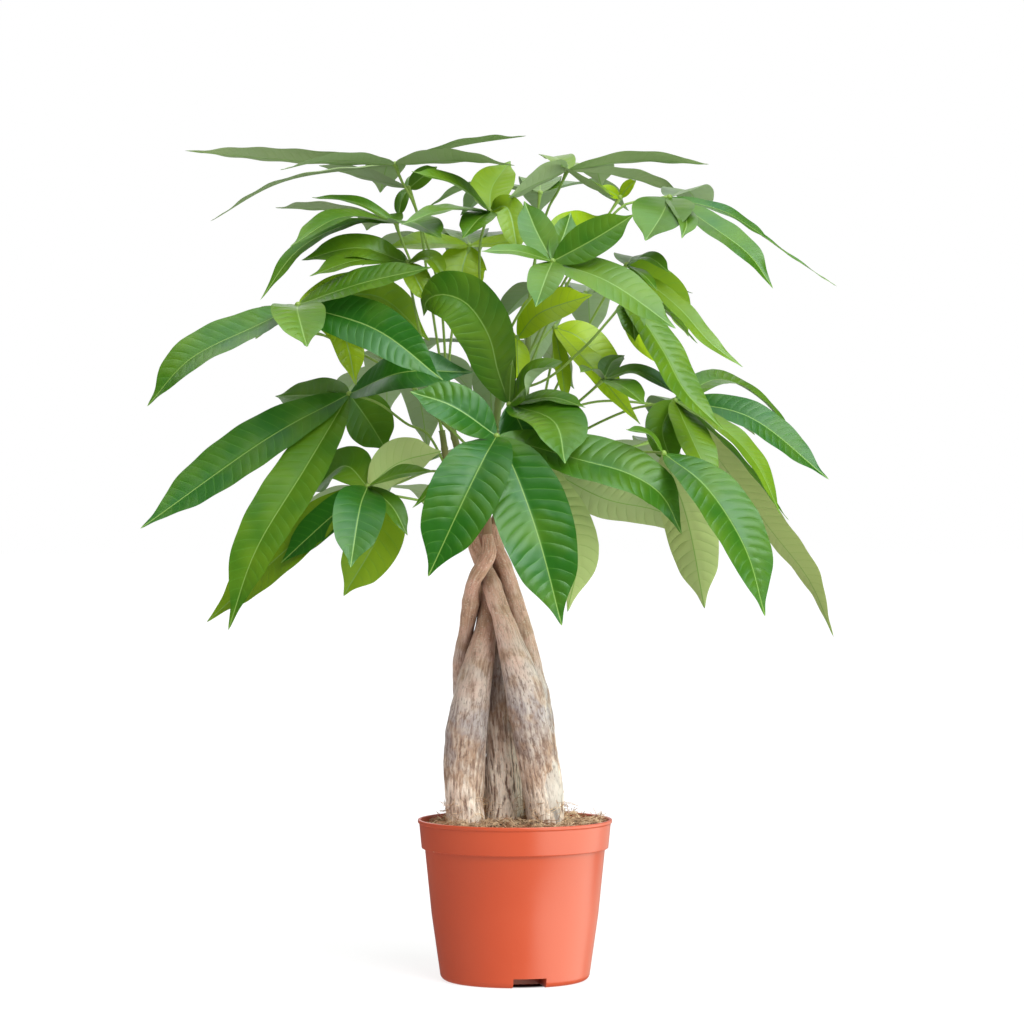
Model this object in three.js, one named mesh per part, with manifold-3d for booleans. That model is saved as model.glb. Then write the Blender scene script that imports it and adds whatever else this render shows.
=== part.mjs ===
// A potted money tree (Pachira aquatica): five braided stems in a 17 cm plastic nursery pot,
// with a crown of compound leaves. Millimetres, +Z up. The origin is on the surface that the
// pot stands on, under the pot's centre. -Y is the plant's front.
import * as THREE from "three";
import { mergeVertices } from "three/addons/utils/BufferGeometryUtils.js";
import Module from "manifold-3d";

const wasm = await Module();
wasm.setup();

// Driving dimensions.
const GAP = 0.3; // kept clear between pieces that touch
const POT_HEIGHT = 140;
const RIM_RADIUS = 85;
const COLLAR_FOOT = 115; // height of the step under the collar
const COLLAR_FOOT_RADIUS = 81.8;
const WALL_TOP_RADIUS = 79.2;
const FOOT_RADIUS = 65.6; // at the top of the rounded foot
const FOOT_ROUND = 6;
const POT_WALL = 1.6;
const POT_FLOOR = 2;
const POT_SIDES = 36;
const WALL_BULGE = 0.6; // of the wall's middle, past a straight line
const LIP_HEIGHT = 3; // the lip round the rim
const LIP_PROUD = 1.2;
const LIP_ROUND = 0.6;
const DRAINS = 3;
const DRAIN_TURN = 11.5; // degrees from the front to the first drain channel
const DRAIN_WIDTH = 29;
const DRAIN_HEIGHT = 8.5;
const DRAIN_REACH = 30; // from the foot's edge inwards
const DRAIN_HOLE = 8;
const CUT_PAST = 5; // how far a cut runs on past the surface that it opens
const SOIL_TOP = 134; // where the soil meets the pot
const SOIL_HEAP = 3;
const SOIL_LUMP = 1.2;
const SOIL_SLOPE = 0.025; // up to the right
const LONG_LUMP = 12; // a lump's length over two pi
const SHORT_LUMP = 8;
const SOIL_RINGS = [0, 22, 42, 62, 78];
const SOIL_GAP = 0.5; // between the soil and the facets of the pot or of a stem
const STEM_ROOT = 62; // height of the stems' buried ends
const STEM_SIDES = 10;
const STEM_LOBES = 3;
const LOBE_DEPTH = 0.015; // to the stem's radius
const SOIL_SIDES = 24;
const SHOOT_SIDES = 6;
const SHOOT_STEPS = 6;
const SHOOT_FOOT_RADIUS = 4.2;
const SHOOT_TIP_RADIUS = 2.6;
const STALK_SIDES = 4;
const STALK_RADIUS = 1.3;
const HUB_RADIUS = 2.8;
const BLADE_THICKNESS = 0.8;
const BLADE_FOLD = 0.22; // rise of a leaflet's edges over its midrib, to its half width
const BLADE_SKEW = 0.92; // below 1, a leaflet is widest nearer its base
const BLADE_TAPER = 0.8; // below 1, its middle is fuller and its ends are blunter
const TIP_START = 0.76; // share of a leaflet's length where its tip starts to narrow
const TIP_END = 0.97;
const TIP_NARROWING = 0.55; // share of the width that the tip loses
const STEP_LENGTH = 36; // of a midrib or a stalk between two rows of corners
const FEWEST_STEPS = 3;
const MOST_STEPS = 6;

// Places on the plant are given as they look from a point in front of it: x and z where the
// line of sight meets the plane of the pot's axis, with the depth behind that plane between.
const EYE = { x: -2.6, distance: 3000, z: 408.6 };

function seen([x, depth, z]) {
  const spread = 1 + depth / EYE.distance;
  return new THREE.Vector3(EYE.x + (x - EYE.x) * spread, depth, EYE.z + (z - EYE.z) * spread);
}

// Solids and geometries.
function solidOf(geometry) {
  const bare = geometry.clone();
  bare.deleteAttribute("normal");
  bare.deleteAttribute("uv");
  const merged = mergeVertices(bare, 1e-3);
  return new wasm.Manifold(
    new wasm.Mesh({
      numProp: 3,
      vertProperties: new Float32Array(merged.attributes.position.array),
      triVerts: new Uint32Array(merged.index.array),
    }),
  );
}

function geometryOf(solid) {
  const mesh = solid.getMesh();
  const geometry = new THREE.BufferGeometry();
  geometry.setAttribute("position", new THREE.BufferAttribute(mesh.vertProperties, 3));
  geometry.setIndex(new THREE.BufferAttribute(mesh.triVerts, 1));
  geometry.computeVertexNormals();
  return geometry;
}

function turned(profile, sides) {
  const points = profile.map(([radius, height]) => new THREE.Vector2(radius, height));
  return new THREE.LatheGeometry(points, sides).rotateX(Math.PI / 2);
}

// A closed cylinder whose rings are moved to even steps along a curve.
function swept(curve, radiusAt, sides, steps) {
  const shape = new THREE.CylinderGeometry(1, 1, 1, sides, steps);
  const frames = curve.computeFrenetFrames(steps, false);
  const place = shape.attributes.position;
  const spot = new THREE.Vector3();
  for (let i = 0; i < place.count; i++) {
    const share = place.getY(i) + 0.5;
    const ring = Math.round(share * steps);
    const across = place.getX(i);
    const back = place.getZ(i);
    const radius = radiusAt(share, Math.atan2(back, across));
    spot.copy(curve.getPointAt(share));
    spot.addScaledVector(frames.normals[ring], across * radius);
    spot.addScaledVector(frames.binormals[ring], -back * radius);
    place.setXYZ(i, spot.x, spot.y, spot.z);
  }
  return shape;
}

function smoothCurve(points) {
  return new THREE.CatmullRomCurve3(points, false, "catmullrom", 0.5);
}

function stepsAlong(curve) {
  return THREE.MathUtils.clamp(Math.round(curve.getLength() / STEP_LENGTH), FEWEST_STEPS, MOST_STEPS);
}

// The pot: a wall of even thickness with a collar, and drain channels moulded up into its floor.
function quarterRound(centreRadius, centreHeight, radius, steps) {
  const points = [];
  for (let i = 0; i <= steps; i++) {
    const angle = (i / steps) * (Math.PI / 2);
    points.push([centreRadius + radius * Math.sin(angle), centreHeight - radius * Math.cos(angle)]);
  }
  return points;
}

function drainTurn(i) {
  return THREE.MathUtils.degToRad(DRAIN_TURN + (360 / DRAINS) * i);
}

function drainChannels(grow) {
  const length = DRAIN_REACH + CUT_PAST + grow;
  const height = DRAIN_HEIGHT + CUT_PAST + grow;
  let channels = null;
  for (let i = 0; i < DRAINS; i++) {
    const block = new THREE.BoxGeometry(DRAIN_WIDTH + 2 * grow, length, height);
    block.translate(0, length / 2 - FOOT_RADIUS - CUT_PAST, height / 2 - CUT_PAST);
    block.rotateZ(drainTurn(i));
    channels = channels ? channels.add(solidOf(block)) : solidOf(block);
  }
  return channels;
}

function makePot() {
  const outside = solidOf(
    turned(
      [
        [0, 0],
        ...quarterRound(FOOT_RADIUS - FOOT_ROUND, FOOT_ROUND, FOOT_ROUND, 3),
        [(FOOT_RADIUS + WALL_TOP_RADIUS) / 2 + WALL_BULGE, COLLAR_FOOT / 2],
        [WALL_TOP_RADIUS, COLLAR_FOOT],
        [COLLAR_FOOT_RADIUS, COLLAR_FOOT + LIP_ROUND],
        [RIM_RADIUS - LIP_PROUD, POT_HEIGHT - LIP_HEIGHT],
        [RIM_RADIUS, POT_HEIGHT - LIP_HEIGHT + LIP_ROUND],
        [RIM_RADIUS, POT_HEIGHT - LIP_ROUND],
        [RIM_RADIUS - LIP_ROUND, POT_HEIGHT],
        [0, POT_HEIGHT],
      ],
      POT_SIDES,
    ),
  );
  const hollow = solidOf(
    turned(
      [
        [0, POT_FLOOR],
        [FOOT_RADIUS - FOOT_ROUND, POT_FLOOR],
        [FOOT_RADIUS - POT_WALL, FOOT_ROUND],
        [WALL_TOP_RADIUS - POT_WALL, COLLAR_FOOT],
        [COLLAR_FOOT_RADIUS - POT_WALL, COLLAR_FOOT + POT_WALL],
        [RIM_RADIUS - LIP_PROUD - POT_WALL, POT_HEIGHT],
        [RIM_RADIUS - LIP_PROUD - POT_WALL, POT_HEIGHT + CUT_PAST],
        [0, POT_HEIGHT + CUT_PAST],
      ],
      POT_SIDES,
    ),
  );
  let pot = outside.subtract(hollow.subtract(drainChannels(POT_FLOOR))).subtract(drainChannels(0));
  const holeLength = 2 * (DRAIN_HEIGHT + POT_FLOOR + CUT_PAST);
  for (let i = 0; i < DRAINS; i++) {
    const hole = new THREE.CylinderGeometry(DRAIN_HOLE / 2, DRAIN_HOLE / 2, holeLength, 8);
    hole.rotateX(Math.PI / 2);
    hole.translate(0, DRAIN_REACH / 2 - FOOT_RADIUS, 0);
    hole.rotateZ(drainTurn(i));
    pot = pot.subtract(solidOf(hole));
  }
  return pot;
}

// The woody stems: centre and half width at each height, from the soil to the knot.
const STEMS = {
  stem_front_left: [
    [-43, -10, 62, 11],
    [-43, -10, 125, 13],
    [-43.3, -10, 139, 16.2],
    [-44.5, -10, 160, 16.5],
    [-44, -10, 190, 18.3],
    [-42.5, -9.5, 215, 18],
    [-38.5, -8, 240, 16.5],
    [-35.5, -6, 260, 15],
    [-31, -2, 280, 13.3],
    [-26.7, 1.5, 300, 10.1],
    [-24.1, 6, 320, 8.7],
    [-24.3, 10, 340, 7.5],
    [-25.5, 13, 362, 6.3],
    [-28, 16, 382, 5.6],
    [-29, 18, 400, 5.4],
  ],
  stem_middle: [
    [-10, 14, 62, 11],
    [-11, 13, 125, 13],
    [-9, 12, 139, 16.8],
    [-9, 12.5, 160, 15.4],
    [-12, 13, 200, 14.6],
    [-13, 16, 240, 13.6],
    [-13, 19, 275, 12],
    [-14, 19, 300, 10.3],
    [-14, 21.5, 320, 8.8],
    [-14, 22.5, 340, 7.8],
    [-15.5, 24, 362, 7],
    [-15.5, 25, 384, 6.2],
    [-14.5, 26, 403, 5.8],
  ],
  stem_front_right: [
    [25, -22, 62, 11],
    [26.5, -22, 125, 13],
    [26.5, -22, 138, 15.8],
    [25.5, -22, 160, 17.3],
    [21.5, -22, 185, 18],
    [16.5, -21.5, 212, 18],
    [11, -20, 240, 17.8],
    [6, -18.5, 260, 15.8],
    [0, -17, 280, 13.6],
    [-6, -15, 300, 10.8],
    [-12.5, -12.5, 320, 8.8],
    [-18.5, -9, 338, 8.2],
    [-25.5, -3, 358, 6.8],
    [-34.5, 1, 376, 5.9],
    [-38, 4, 392, 5],
  ],
  stem_back_right: [
    [20, 29, 62, 11],
    [20, 29, 125, 13],
    [19.5, 29, 139, 14.6],
    [19.5, 28, 165, 14],
    [22.5, 24, 200, 13.4],
    [20, 20, 240, 12],
    [16, 16, 260, 11],
    [12, 10.5, 280, 10],
    [7.3, 9, 300, 9.6],
    [2, 8.5, 320, 9],
    [-3.5, 7.5, 340, 8.4],
    [-9.5, 4, 360, 7.4],
    [-17.5, 5, 380, 6.2],
    [-20, 6, 398, 5.2],
  ],
  stem_back_left: [
    [-34, 37, 62, 11],
    [-34, 36, 125, 12.5],
    [-33.5, 35, 139, 13.8],
    [-34.5, 33, 165, 13.2],
    [-39, 30, 200, 12],
    [-43.5, 26, 240, 10.4],
    [-45.5, 22, 260, 8.8],
    [-46, 18, 280, 8.2],
    [-43.3, 10, 300, 7.2],
    [-40, 2, 320, 6.9],
    [-37.8, -5, 338, 6.6],
    [-35, -15, 350, 6.2],
    [-28, -20, 362, 6.6],
    [-22.5, -20, 374, 6.4],
    [-24, -15, 388, 5.2],
  ],
};

function stemCurve(rows) {
  return smoothCurve(rows.map(seen));
}

function stemRadius(rows, share) {
  const place = share * (rows.length - 1);
  const row = Math.min(Math.floor(place), rows.length - 2);
  return THREE.MathUtils.lerp(rows[row][3], rows[row + 1][3], place - row);
}

// Rings sit at the listed heights, so the parameter of the curve is used, not its length.
function makeStem(rows) {
  const curve = stemCurve(rows);
  curve.getPointAt = (share) => curve.getPoint(share);
  curve.getTangentAt = (share) => curve.getTangent(share);
  const radiusAt = (share, angle) => {
    return stemRadius(rows, share) * (1 - LOBE_DEPTH * (1 + Math.cos(STEM_LOBES * angle)));
  };
  return swept(curve, radiusAt, STEM_SIDES, rows.length - 1);
}

// The soil: heaped unevenly round the stems, with a plain hole for each.
function makeSoil() {
  const inset = POT_WALL + SOIL_GAP;
  const profile = [
    [0, POT_FLOOR + SOIL_GAP],
    [FOOT_RADIUS - FOOT_ROUND - SOIL_GAP, POT_FLOOR + SOIL_GAP],
    [FOOT_RADIUS - inset, FOOT_ROUND],
    [WALL_TOP_RADIUS - inset, COLLAR_FOOT],
    [COLLAR_FOOT_RADIUS - inset, COLLAR_FOOT + inset],
    [RIM_RADIUS - LIP_PROUD - LIP_ROUND - inset, SOIL_TOP - LIP_HEIGHT],
    ...SOIL_RINGS.toReversed().map((radius) => [radius, SOIL_TOP]),
  ];
  const geometry = turned(profile, SOIL_SIDES);
  const place = geometry.attributes.position;
  for (let i = 0; i < place.count; i++) {
    if (place.getZ(i) < SOIL_TOP - 1) continue;
    const x = place.getX(i);
    const y = place.getY(i);
    const rest = 1 - (Math.hypot(x, y) / RIM_RADIUS) ** 4;
    const lump = Math.sin(x / LONG_LUMP + 1) * Math.cos(y / LONG_LUMP) + Math.sin((x - y) / SHORT_LUMP) / 2;
    place.setZ(i, SOIL_TOP + rest * (SOIL_HEAP + SOIL_LUMP * lump + SOIL_SLOPE * x));
  }
  let soil = solidOf(geometry).subtract(drainChannels(POT_FLOOR + GAP));
  for (const rows of Object.values(STEMS)) {
    const buried = rows.slice(0, 4).map(([x, depth, z, radius], i) => {
      return [x, depth, i === 0 ? z - SOIL_GAP : z, radius + SOIL_GAP];
    });
    soil = soil.subtract(solidOf(makeStem(buried)));
  }
  return soil;
}

// The green shoots: each grows out of the top of one woody stem.
const SHOOTS = {
  shoot_front_left: [
    [-29, 18, 396],
    [-36, 28, 425],
    [-52, 44, 470],
    [-60, 52, 515],
  ],
  shoot_middle: [
    [-14.5, 26, 399],
    [-6, 40, 440],
    [8, 56, 500],
    [12, 62, 565],
  ],
  shoot_back_left: [
    [-24, -15, 384],
    [-24, -15, 420],
    [-16, -16, 490],
    [-9, -16, 562],
  ],
  shoot_back_right: [
    [-20, 6, 394],
    [-9, 8, 420],
    [12, 12, 455],
    [24, 14, 500],
  ],
  shoot_front_right: [
    [-38, 4, 388],
    [-46, 2, 412],
    [-58, -2, 445],
    [-64, -4, 480],
  ],
};

function makeShoot(points, grow) {
  const radiusAt = (share) => THREE.MathUtils.lerp(SHOOT_FOOT_RADIUS, SHOOT_TIP_RADIUS, share) + grow;
  const places = points.map(seen);
  places[0].z -= grow;
  return swept(smoothCurve(places), radiusAt, SHOOT_SIDES, SHOOT_STEPS);
}

// A leaflet: a thin blade folded along its midrib, pointed at both ends. Both faces are split
// into the same triangles.
function halfWidth(share, width) {
  const skewed = share ** BLADE_SKEW;
  const tip = 1 - TIP_NARROWING * THREE.MathUtils.smoothstep(share, TIP_START, TIP_END);
  return (width / 2) * (4 * skewed * (1 - skewed)) ** BLADE_TAPER * tip;
}

function makeLeaflet(hub, { rib, width, face }) {
  const midrib = smoothCurve([hub, ...rib].map(seen));
  const steps = stepsAlong(midrib);
  const faceWay = new THREE.Vector3(...face).normalize();
  const corners = [];
  const rows = [];
  for (let row = 0; row <= steps; row++) {
    const share = row / steps;
    const middle = midrib.getPointAt(share);
    const along = midrib.getTangentAt(share);
    const side = new THREE.Vector3().crossVectors(faceWay, along).normalize();
    const up = new THREE.Vector3().crossVectors(along, side);
    const half = halfWidth(share, width);
    const edges = row === 0 || row === steps ? [0] : [-1, 0, 1];
    rows.push({ first: corners.length, count: edges.length });
    for (const lift of [BLADE_THICKNESS / 2, -BLADE_THICKNESS / 2]) {
      for (const edge of edges) {
        const corner = middle.clone();
        corner.addScaledVector(side, edge * half);
        corner.addScaledVector(up, Math.abs(edge) * half * BLADE_FOLD + lift);
        corners.push(corner);
      }
    }
  }
  const faces = [];
  const face3 = (a, b, c) => faces.push(a, b, c);
  for (let row = 0; row < steps; row++) {
    const here = rows[row];
    const next = rows[row + 1];
    const upper = ({ first, count }, edge) => first + (count === 1 ? 0 : edge);
    const lower = ({ first, count }, edge) => first + count + (count === 1 ? 0 : edge);
    for (const edge of [0, 1]) {
      if (next.count > 1) {
        face3(upper(here, edge), upper(next, edge), upper(next, edge + 1));
        face3(lower(here, edge), lower(next, edge + 1), lower(next, edge));
      }
      if (here.count > 1) {
        face3(upper(here, edge), upper(next, edge + 1), upper(here, edge + 1));
        face3(lower(here, edge), lower(here, edge + 1), lower(next, edge + 1));
      }
    }
    face3(upper(here, 0), lower(here, 0), lower(next, 0));
    face3(upper(here, 0), lower(next, 0), upper(next, 0));
    face3(upper(here, 2), upper(next, 2), lower(next, 2));
    face3(upper(here, 2), lower(next, 2), lower(here, 2));
  }
  const geometry = new THREE.BufferGeometry().setFromPoints(corners);
  geometry.setIndex(faces);
  return geometry;
}

// The compound leaves. The first point of a stalk is its hub, where the leaflets meet. The stalk
// ends on its shoot, at the given share of the shoot's length. A leaflet's midrib starts at the
// hub, and its face is the way that its upper side looks.
const LEAVES = {
  leaf_top_left: {
    root: ["shoot_front_left", 0.8],
    stalk: [[-105, 10, 713], [-100, 8, 700], [-85, 5, 668], [-76, 20, 610], [-66, 38, 545]],
    leaflets: [
      { rib: [[-195, 4, 717], [-289, -10, 725]], width: 36, face: [0, 0.25, 1] },
      { rib: [[-200, 50, 699], [-267, 80, 663]], width: 24, face: [0, -0.2, 1] },
      { rib: [[-160, -40, 717], [-206, -80, 708]], width: 32, face: [0, 0.2, 1] },
      { rib: [[-50, 24, 729], [10, 34, 738]], width: 34, face: [0, 0.05, 1] },
      { rib: [[-50, -32, 717], [0, -72, 712]], width: 38, face: [0, 0.3, 1] },
      { rib: [[-112, 80, 712], [-118, 150, 688]], width: 38, face: [0, 0, 1] },
    ],
  },
  leaf_top_left_small: {
    root: ["shoot_front_left", 0.96],
    stalk: [[-93, 45, 692], [-86, 44, 672], [-66, 48, 600]],
    leaflets: [
      { rib: [[-135, 72, 703], [-172, 100, 712]], width: 28, face: [0, 0.5, 1] },
      { rib: [[-78, 85, 702], [-66, 120, 708]], width: 26, face: [0, 0.1, 1] },
      { rib: [[-82, 38, 701], [-68, 32, 711]], width: 18, face: [0.3, -1, 0.5] },
      { rib: [[-99, 40, 682], [-102, 36, 666]], width: 12, face: [0, -1, 0.3] },
    ],
  },
  leaf_upper_left: {
    root: ["shoot_back_left", 0.9],
    stalk: [[-104, -25, 662], [-102, -22, 654], [-93, 0, 632], [-78, 10, 598], [-40, -6, 560]],
    leaflets: [
      { rib: [[-160, 8, 673], [-210, 40, 675]], width: 28, face: [0, 0.3, 1] },
      { rib: [[-140, -18, 680], [-178, -20, 684]], width: 22, face: [0, -0.4, 1] },
      { rib: [[-152, -60, 667], [-197, -92, 641]], width: 32, face: [0, -0.4, 1] },
      { rib: [[-145, -36, 661], [-190, -50, 638], [-223, -58, 594]], width: 17,
        face: [0.4, -0.4, 1] },
      { rib: [[-88, -68, 662], [-64, -108, 648]], width: 38, face: [0.1, -0.5, 1] },
      { rib: [[-119, 24, 668], [-130, 74, 655]], width: 34, face: [0, 0, 1] },
    ],
  },
  leaf_left_radiating: {
    root: ["shoot_front_right", 0.97],
    stalk: [[-94, -44, 627], [-92, -44, 610], [-82, -34, 560]],
    leaflets: [
      { rib: [[-138, -44, 640], [-187, -46, 629]], width: 32, face: [0, -0.9, 0.9] },
      { rib: [[-138, -58, 629], [-180, -70, 615]], width: 30, face: [0, -0.6, 1] },
      { rib: [[-75, -51, 631], [-61, -55, 613]], width: 24, face: [0.2, -0.6, 1] },
      { rib: [[-86, -52, 612], [-76, -56, 592]], width: 24, face: [0.2, -0.9, 0.5] },
      { rib: [[-108, -28, 636], [-124, -8, 642]], width: 16, face: [0, -0.2, 1] },
    ],
  },
  leaf_left: {
    root: ["shoot_back_left", 0.35],
    stalk: [[-190, -60, 590], [-170, -55, 577], [-148, -48, 561], [-113, -38, 541],
      [-50, -20, 475]],
    leaflets: [
      { rib: [[-226, -76, 572], [-284, -96, 543], [-322, -104, 501]], width: 50,
        face: [-0.3, -0.8, 1] },
      { rib: [[-210, -20, 582], [-227, 24, 560]], width: 34, face: [0, 0, 1] },
      { rib: [[-190, -100, 583], [-182, -142, 553]], width: 46, face: [0, -0.5, 1] },
      { rib: [[-121, -98, 568], [-63, -112, 524]], width: 44, face: [0.0, -1, 0.35] },
      { rib: [[-134, -84, 609], [-72, -104, 623]], width: 36, face: [0, -0.8, 0.9] },
      { rib: [[-122, -14, 598], [-74, 10, 558]], width: 44, face: [0.3, -1, 0.7] },
      { rib: [[-152, -44, 566], [-139, -50, 519]], width: 30, face: [0.3, -0.9, 0.4] },
    ],
  },
  leaf_lower_left: {
    root: ["shoot_front_right", 0.55],
    stalk: [[-145, -20, 512], [-120, -17, 504], [-95, -13, 486], [-75, -8, 475]],
    leaflets: [
      { rib: [[-178, 8, 511], [-210, 34, 510]], width: 38, face: [0, -0.9, 0.8] },
      { rib: [[-220, -42, 471], [-328, -72, 394]], width: 50, face: [-0.3, -0.9, 0.5] },
      { rib: [[-185, -60, 445], [-227, -84, 375], [-251, -90, 305]], width: 50,
        face: [-0.4, -0.9, 0.2] },
      { rib: [[-98, -66, 531], [-36, -62, 531]], width: 44, face: [0, -0.9, 0.6] },
      { rib: [[-128, 0, 488], [-112, 10, 462]], width: 44, face: [0, -1, 0.3] },
      { rib: [[-160, 42, 508], [-182, 100, 470]], width: 40, face: [-0.1, 0.3, 1] },
    ],
  },
  leaf_low_left: {
    root: ["shoot_front_right", 0.25],
    stalk: [[-129, -60, 431], [-110, -52, 424], [-85, -36, 419]],
    leaflets: [
      { rib: [[-136, -98, 411], [-144, -130, 360]], width: 44, face: [0.1, -1, 0.3] },
      { rib: [[-118, -66, 395], [-150, -62, 335]], width: 46, face: [0, -1, 0.1] },
      { rib: [[-193, -34, 382], [-270, -22, 312]], width: 46, face: [-0.4, -1, 0.6] },
      { rib: [[-166, -48, 400], [-205, -46, 364]], width: 32, face: [-0.3, -1, 0.5] },
      { rib: [[-150, -36, 449], [-180, -12, 424]], width: 42, face: [-0.3, -0.8, 0.8] },
      { rib: [[-104, -76, 441], [-72, -84, 445]], width: 26, face: [0, -0.6, 1] },
      { rib: [[-102, -34, 452], [-64, -24, 462]], width: 42, face: [0, 0.9, 0.5] },
      { rib: [[-108, -84, 414], [-94, -100, 388]], width: 20, face: [0.3, -0.9, 0.5] },
    ],
  },
  leaf_front: {
    root: ["shoot_back_left", 0.3],
    stalk: [[-16, -118, 475], [-16, -100, 472], [-17, -60, 455]],
    leaflets: [
      { rib: [[-27, -147, 456], [-47, -168, 415], [-76, -178, 352]], width: 62,
        face: [-0.25, -1, 0.3] },
      { rib: [[1, -143, 442], [22, -167, 382], [41, -178, 309]], width: 64, face: [0.1, -1, 0.25] },
      { rib: [[55, -126, 455], [98, -137, 443], [129, -137, 423], [146, -130, 389]], width: 54,
        face: [0.0, -0.8, 0.8] },
      { rib: [[-54, -124, 501], [-92, -122, 514]], width: 42, face: [0.1, -1, 0.6] },
      { rib: [[-52, -112, 446], [-90, -106, 412]], width: 18, face: [-0.2, -0.8, 0.7] },
      { rib: [[26, -112, 425], [54, -106, 375], [46, -100, 321]], width: 44, face: [0.2, 1, 0.2] },
      { rib: [[70, -82, 424], [125, -62, 410], [186, -54, 384]], width: 46, face: [0, 0.9, 0.6] },
    ],
  },
  leaf_centre: {
    root: ["shoot_back_left", 0.55],
    stalk: [[-5, -78, 503], [-5, -66, 498], [-6, -40, 485]],
    leaflets: [
      { rib: [[-15, -84, 532], [-23, -86, 563], [-41, -84, 590],
          [-62, -76, 599], [-77, -62, 594], [-80, -44, 580]], width: 50, face: [-0.45, -1, 0.25] },
      { rib: [[22, -108, 530], [36, -138, 536]], width: 40, face: [0.2, -0.9, 0.8] },
      { rib: [[-4, -90, 524], [-2, -98, 542]], width: 10, face: [-0.5, -1, 0] },
      { rib: [[32, -92, 509], [62, -112, 500]], width: 22, face: [0, -0.6, 1] },
      { rib: [[34, -120, 488], [44, -156, 451]], width: 54, face: [0.2, -0.8, 0.8] },
      { rib: [[6, -82, 482], [16, -84, 452]], width: 42, face: [0, -1, 0.4] },
    ],
  },
  leaf_bright: {
    root: ["shoot_back_left", 0.99],
    stalk: [[2, -46, 561], [0, -38, 558], [-4, -28, 552]],
    leaflets: [
      { rib: [[22, -60, 583], [68, -66, 599]], width: 36, face: [-0.3, -1, 0.6] },
      { rib: [[-24, -56, 572], [-44, -62, 584]], width: 24, face: [0.3, -0.8, 0.8] },
      { rib: [[2, -62, 546], [4, -78, 520]], width: 22, face: [0.4, -1, 0.3] },
    ],
  },
  leaf_backlit: {
    root: ["shoot_back_right", 0.82],
    stalk: [[35, -20, 570], [34, -12, 552], [28, 4, 520]],
    leaflets: [
      { rib: [[58, -26, 560], [93, -36, 522]], width: 36, face: [0.5, -1, 0.4] },
      { rib: [[41, -38, 535], [45, -44, 500]], width: 16, face: [0.6, -1, 0.2] },
      { rib: [[66, -56, 537], [110, -60, 485]], width: 28, face: [0.5, -0.9, 0.7] },
      { rib: [[52, 20, 566], [66, 60, 552]], width: 30, face: [0, 0.1, 1] },
    ],
  },
  leaf_mid_right: {
    root: ["shoot_back_right", 0.75],
    stalk: [[78, -75, 525], [66, -68, 514], [52, -58, 502], [30, -20, 484]],
    leaflets: [
      { rib: [[66, -92, 534], [57, -108, 531]], width: 16, face: [0, -0.5, 1] },
      { rib: [[94, -100, 519], [114, -122, 503]], width: 28, face: [0.2, -0.6, 1] },
      { rib: [[108, -84, 532], [143, -92, 511]], width: 22, face: [0.2, -0.6, 1] },
      { rib: [[85, -58, 540], [96, -44, 546]], width: 20, face: [0, -0.5, 1] },
    ],
  },
  leaf_top_middle: {
    root: ["shoot_back_left", 0.94],
    stalk: [[-22, -20, 672], [-28, -18, 655], [-31, -16, 635], [-28, -15, 585]],
    leaflets: [
      { rib: [[-52, -36, 696], [-91, -50, 707]], width: 30, face: [0, -0.5, 0.9] },
      { rib: [[-62, -84, 673], [-100, -124, 660]], width: 26, face: [0, -0.4, 1] },
      { rib: [[-20, 14, 693], [-4, 44, 716]], width: 38, face: [0, -0.7, 0.7] },
      { rib: [[-33, -58, 664], [-46, -84, 648]], width: 28, face: [0, -0.6, 1] },
      { rib: [[-6, -36, 674], [3, -50, 634]], width: 26, face: [0.2, -1, 0.2] },
    ],
  },
  leaf_top_right: {
    root: ["shoot_middle", 0.96],
    stalk: [[46, 20, 708], [38, 22, 690], [27, 28, 668], [14, 48, 610]],
    leaflets: [
      { rib: [[36, 50, 719], [27, 82, 718]], width: 30, face: [0, -0.1, 1] },
      { rib: [[105, 14, 717], [170, 8, 713]], width: 30, face: [0, 0.25, 1] },
      { rib: [[100, 62, 702], [150, 92, 686]], width: 34, face: [0, 0.1, 1] },
      { rib: [[20, -14, 697], [-6, -46, 684]], width: 44, face: [0, 0.9, 1] },
      { rib: [[64, -26, 694], [86, -62, 685]], width: 44, face: [0, 0.8, 1] },
      { rib: [[68, 76, 712], [76, 132, 694]], width: 36, face: [0, 0, 1] },
    ],
  },
  leaf_upper_front: {
    root: ["shoot_back_left", 0.8],
    stalk: [[33, -100, 628], [20, -94, 604], [4, -82, 583], [-7, -64, 560]],
    leaflets: [
      { rib: [[19, -84, 654], [8, -70, 681]], width: 30, face: [0, -1, 0.5] },
      { rib: [[3, -116, 637], [-30, -126, 637]], width: 16, face: [0, -0.8, 0.8] },
      { rib: [[70, -108, 648], [104, -112, 669]], width: 34, face: [0, -1, 0.4] },
      { rib: [[50, -62, 656], [76, -30, 668]], width: 36, face: [0, -0.9, 0.5] },
      { rib: [[43, -80, 652], [49, -66, 671]], width: 22, face: [0.2, -1, 0.4] },
      { rib: [[27, -130, 614], [18, -154, 588]], width: 30, face: [0, -0.8, 0.8] },
      { rib: [[84, -118, 609], [141, -128, 569]], width: 40, face: [0.2, -0.9, 0.7] },
    ],
  },
  leaf_upper_right: {
    root: ["shoot_middle", 0.88],
    stalk: [[135, 0, 684], [112, -2, 681], [88, -6, 671], [44, 14, 612]],
    leaflets: [
      { rib: [[128, -42, 668], [114, -66, 646]], width: 54, face: [0, -0.6, 1] },
      { rib: [[180, 2, 673], [208, 4, 657], [227, 4, 643]], width: 20, face: [0.3, -0.6, 1] },
      { rib: [[190, 8, 668], [240, 4, 634], [282, -8, 606]], width: 5, face: [0.3, -0.5, 1] },
      { rib: [[172, -36, 659], [205, -56, 634], [226, -62, 604]], width: 32, face: [0.5, -1, 0.8] },
      { rib: [[150, -52, 664], [146, -78, 648]], width: 22, face: [0.3, -0.6, 1] },
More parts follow.
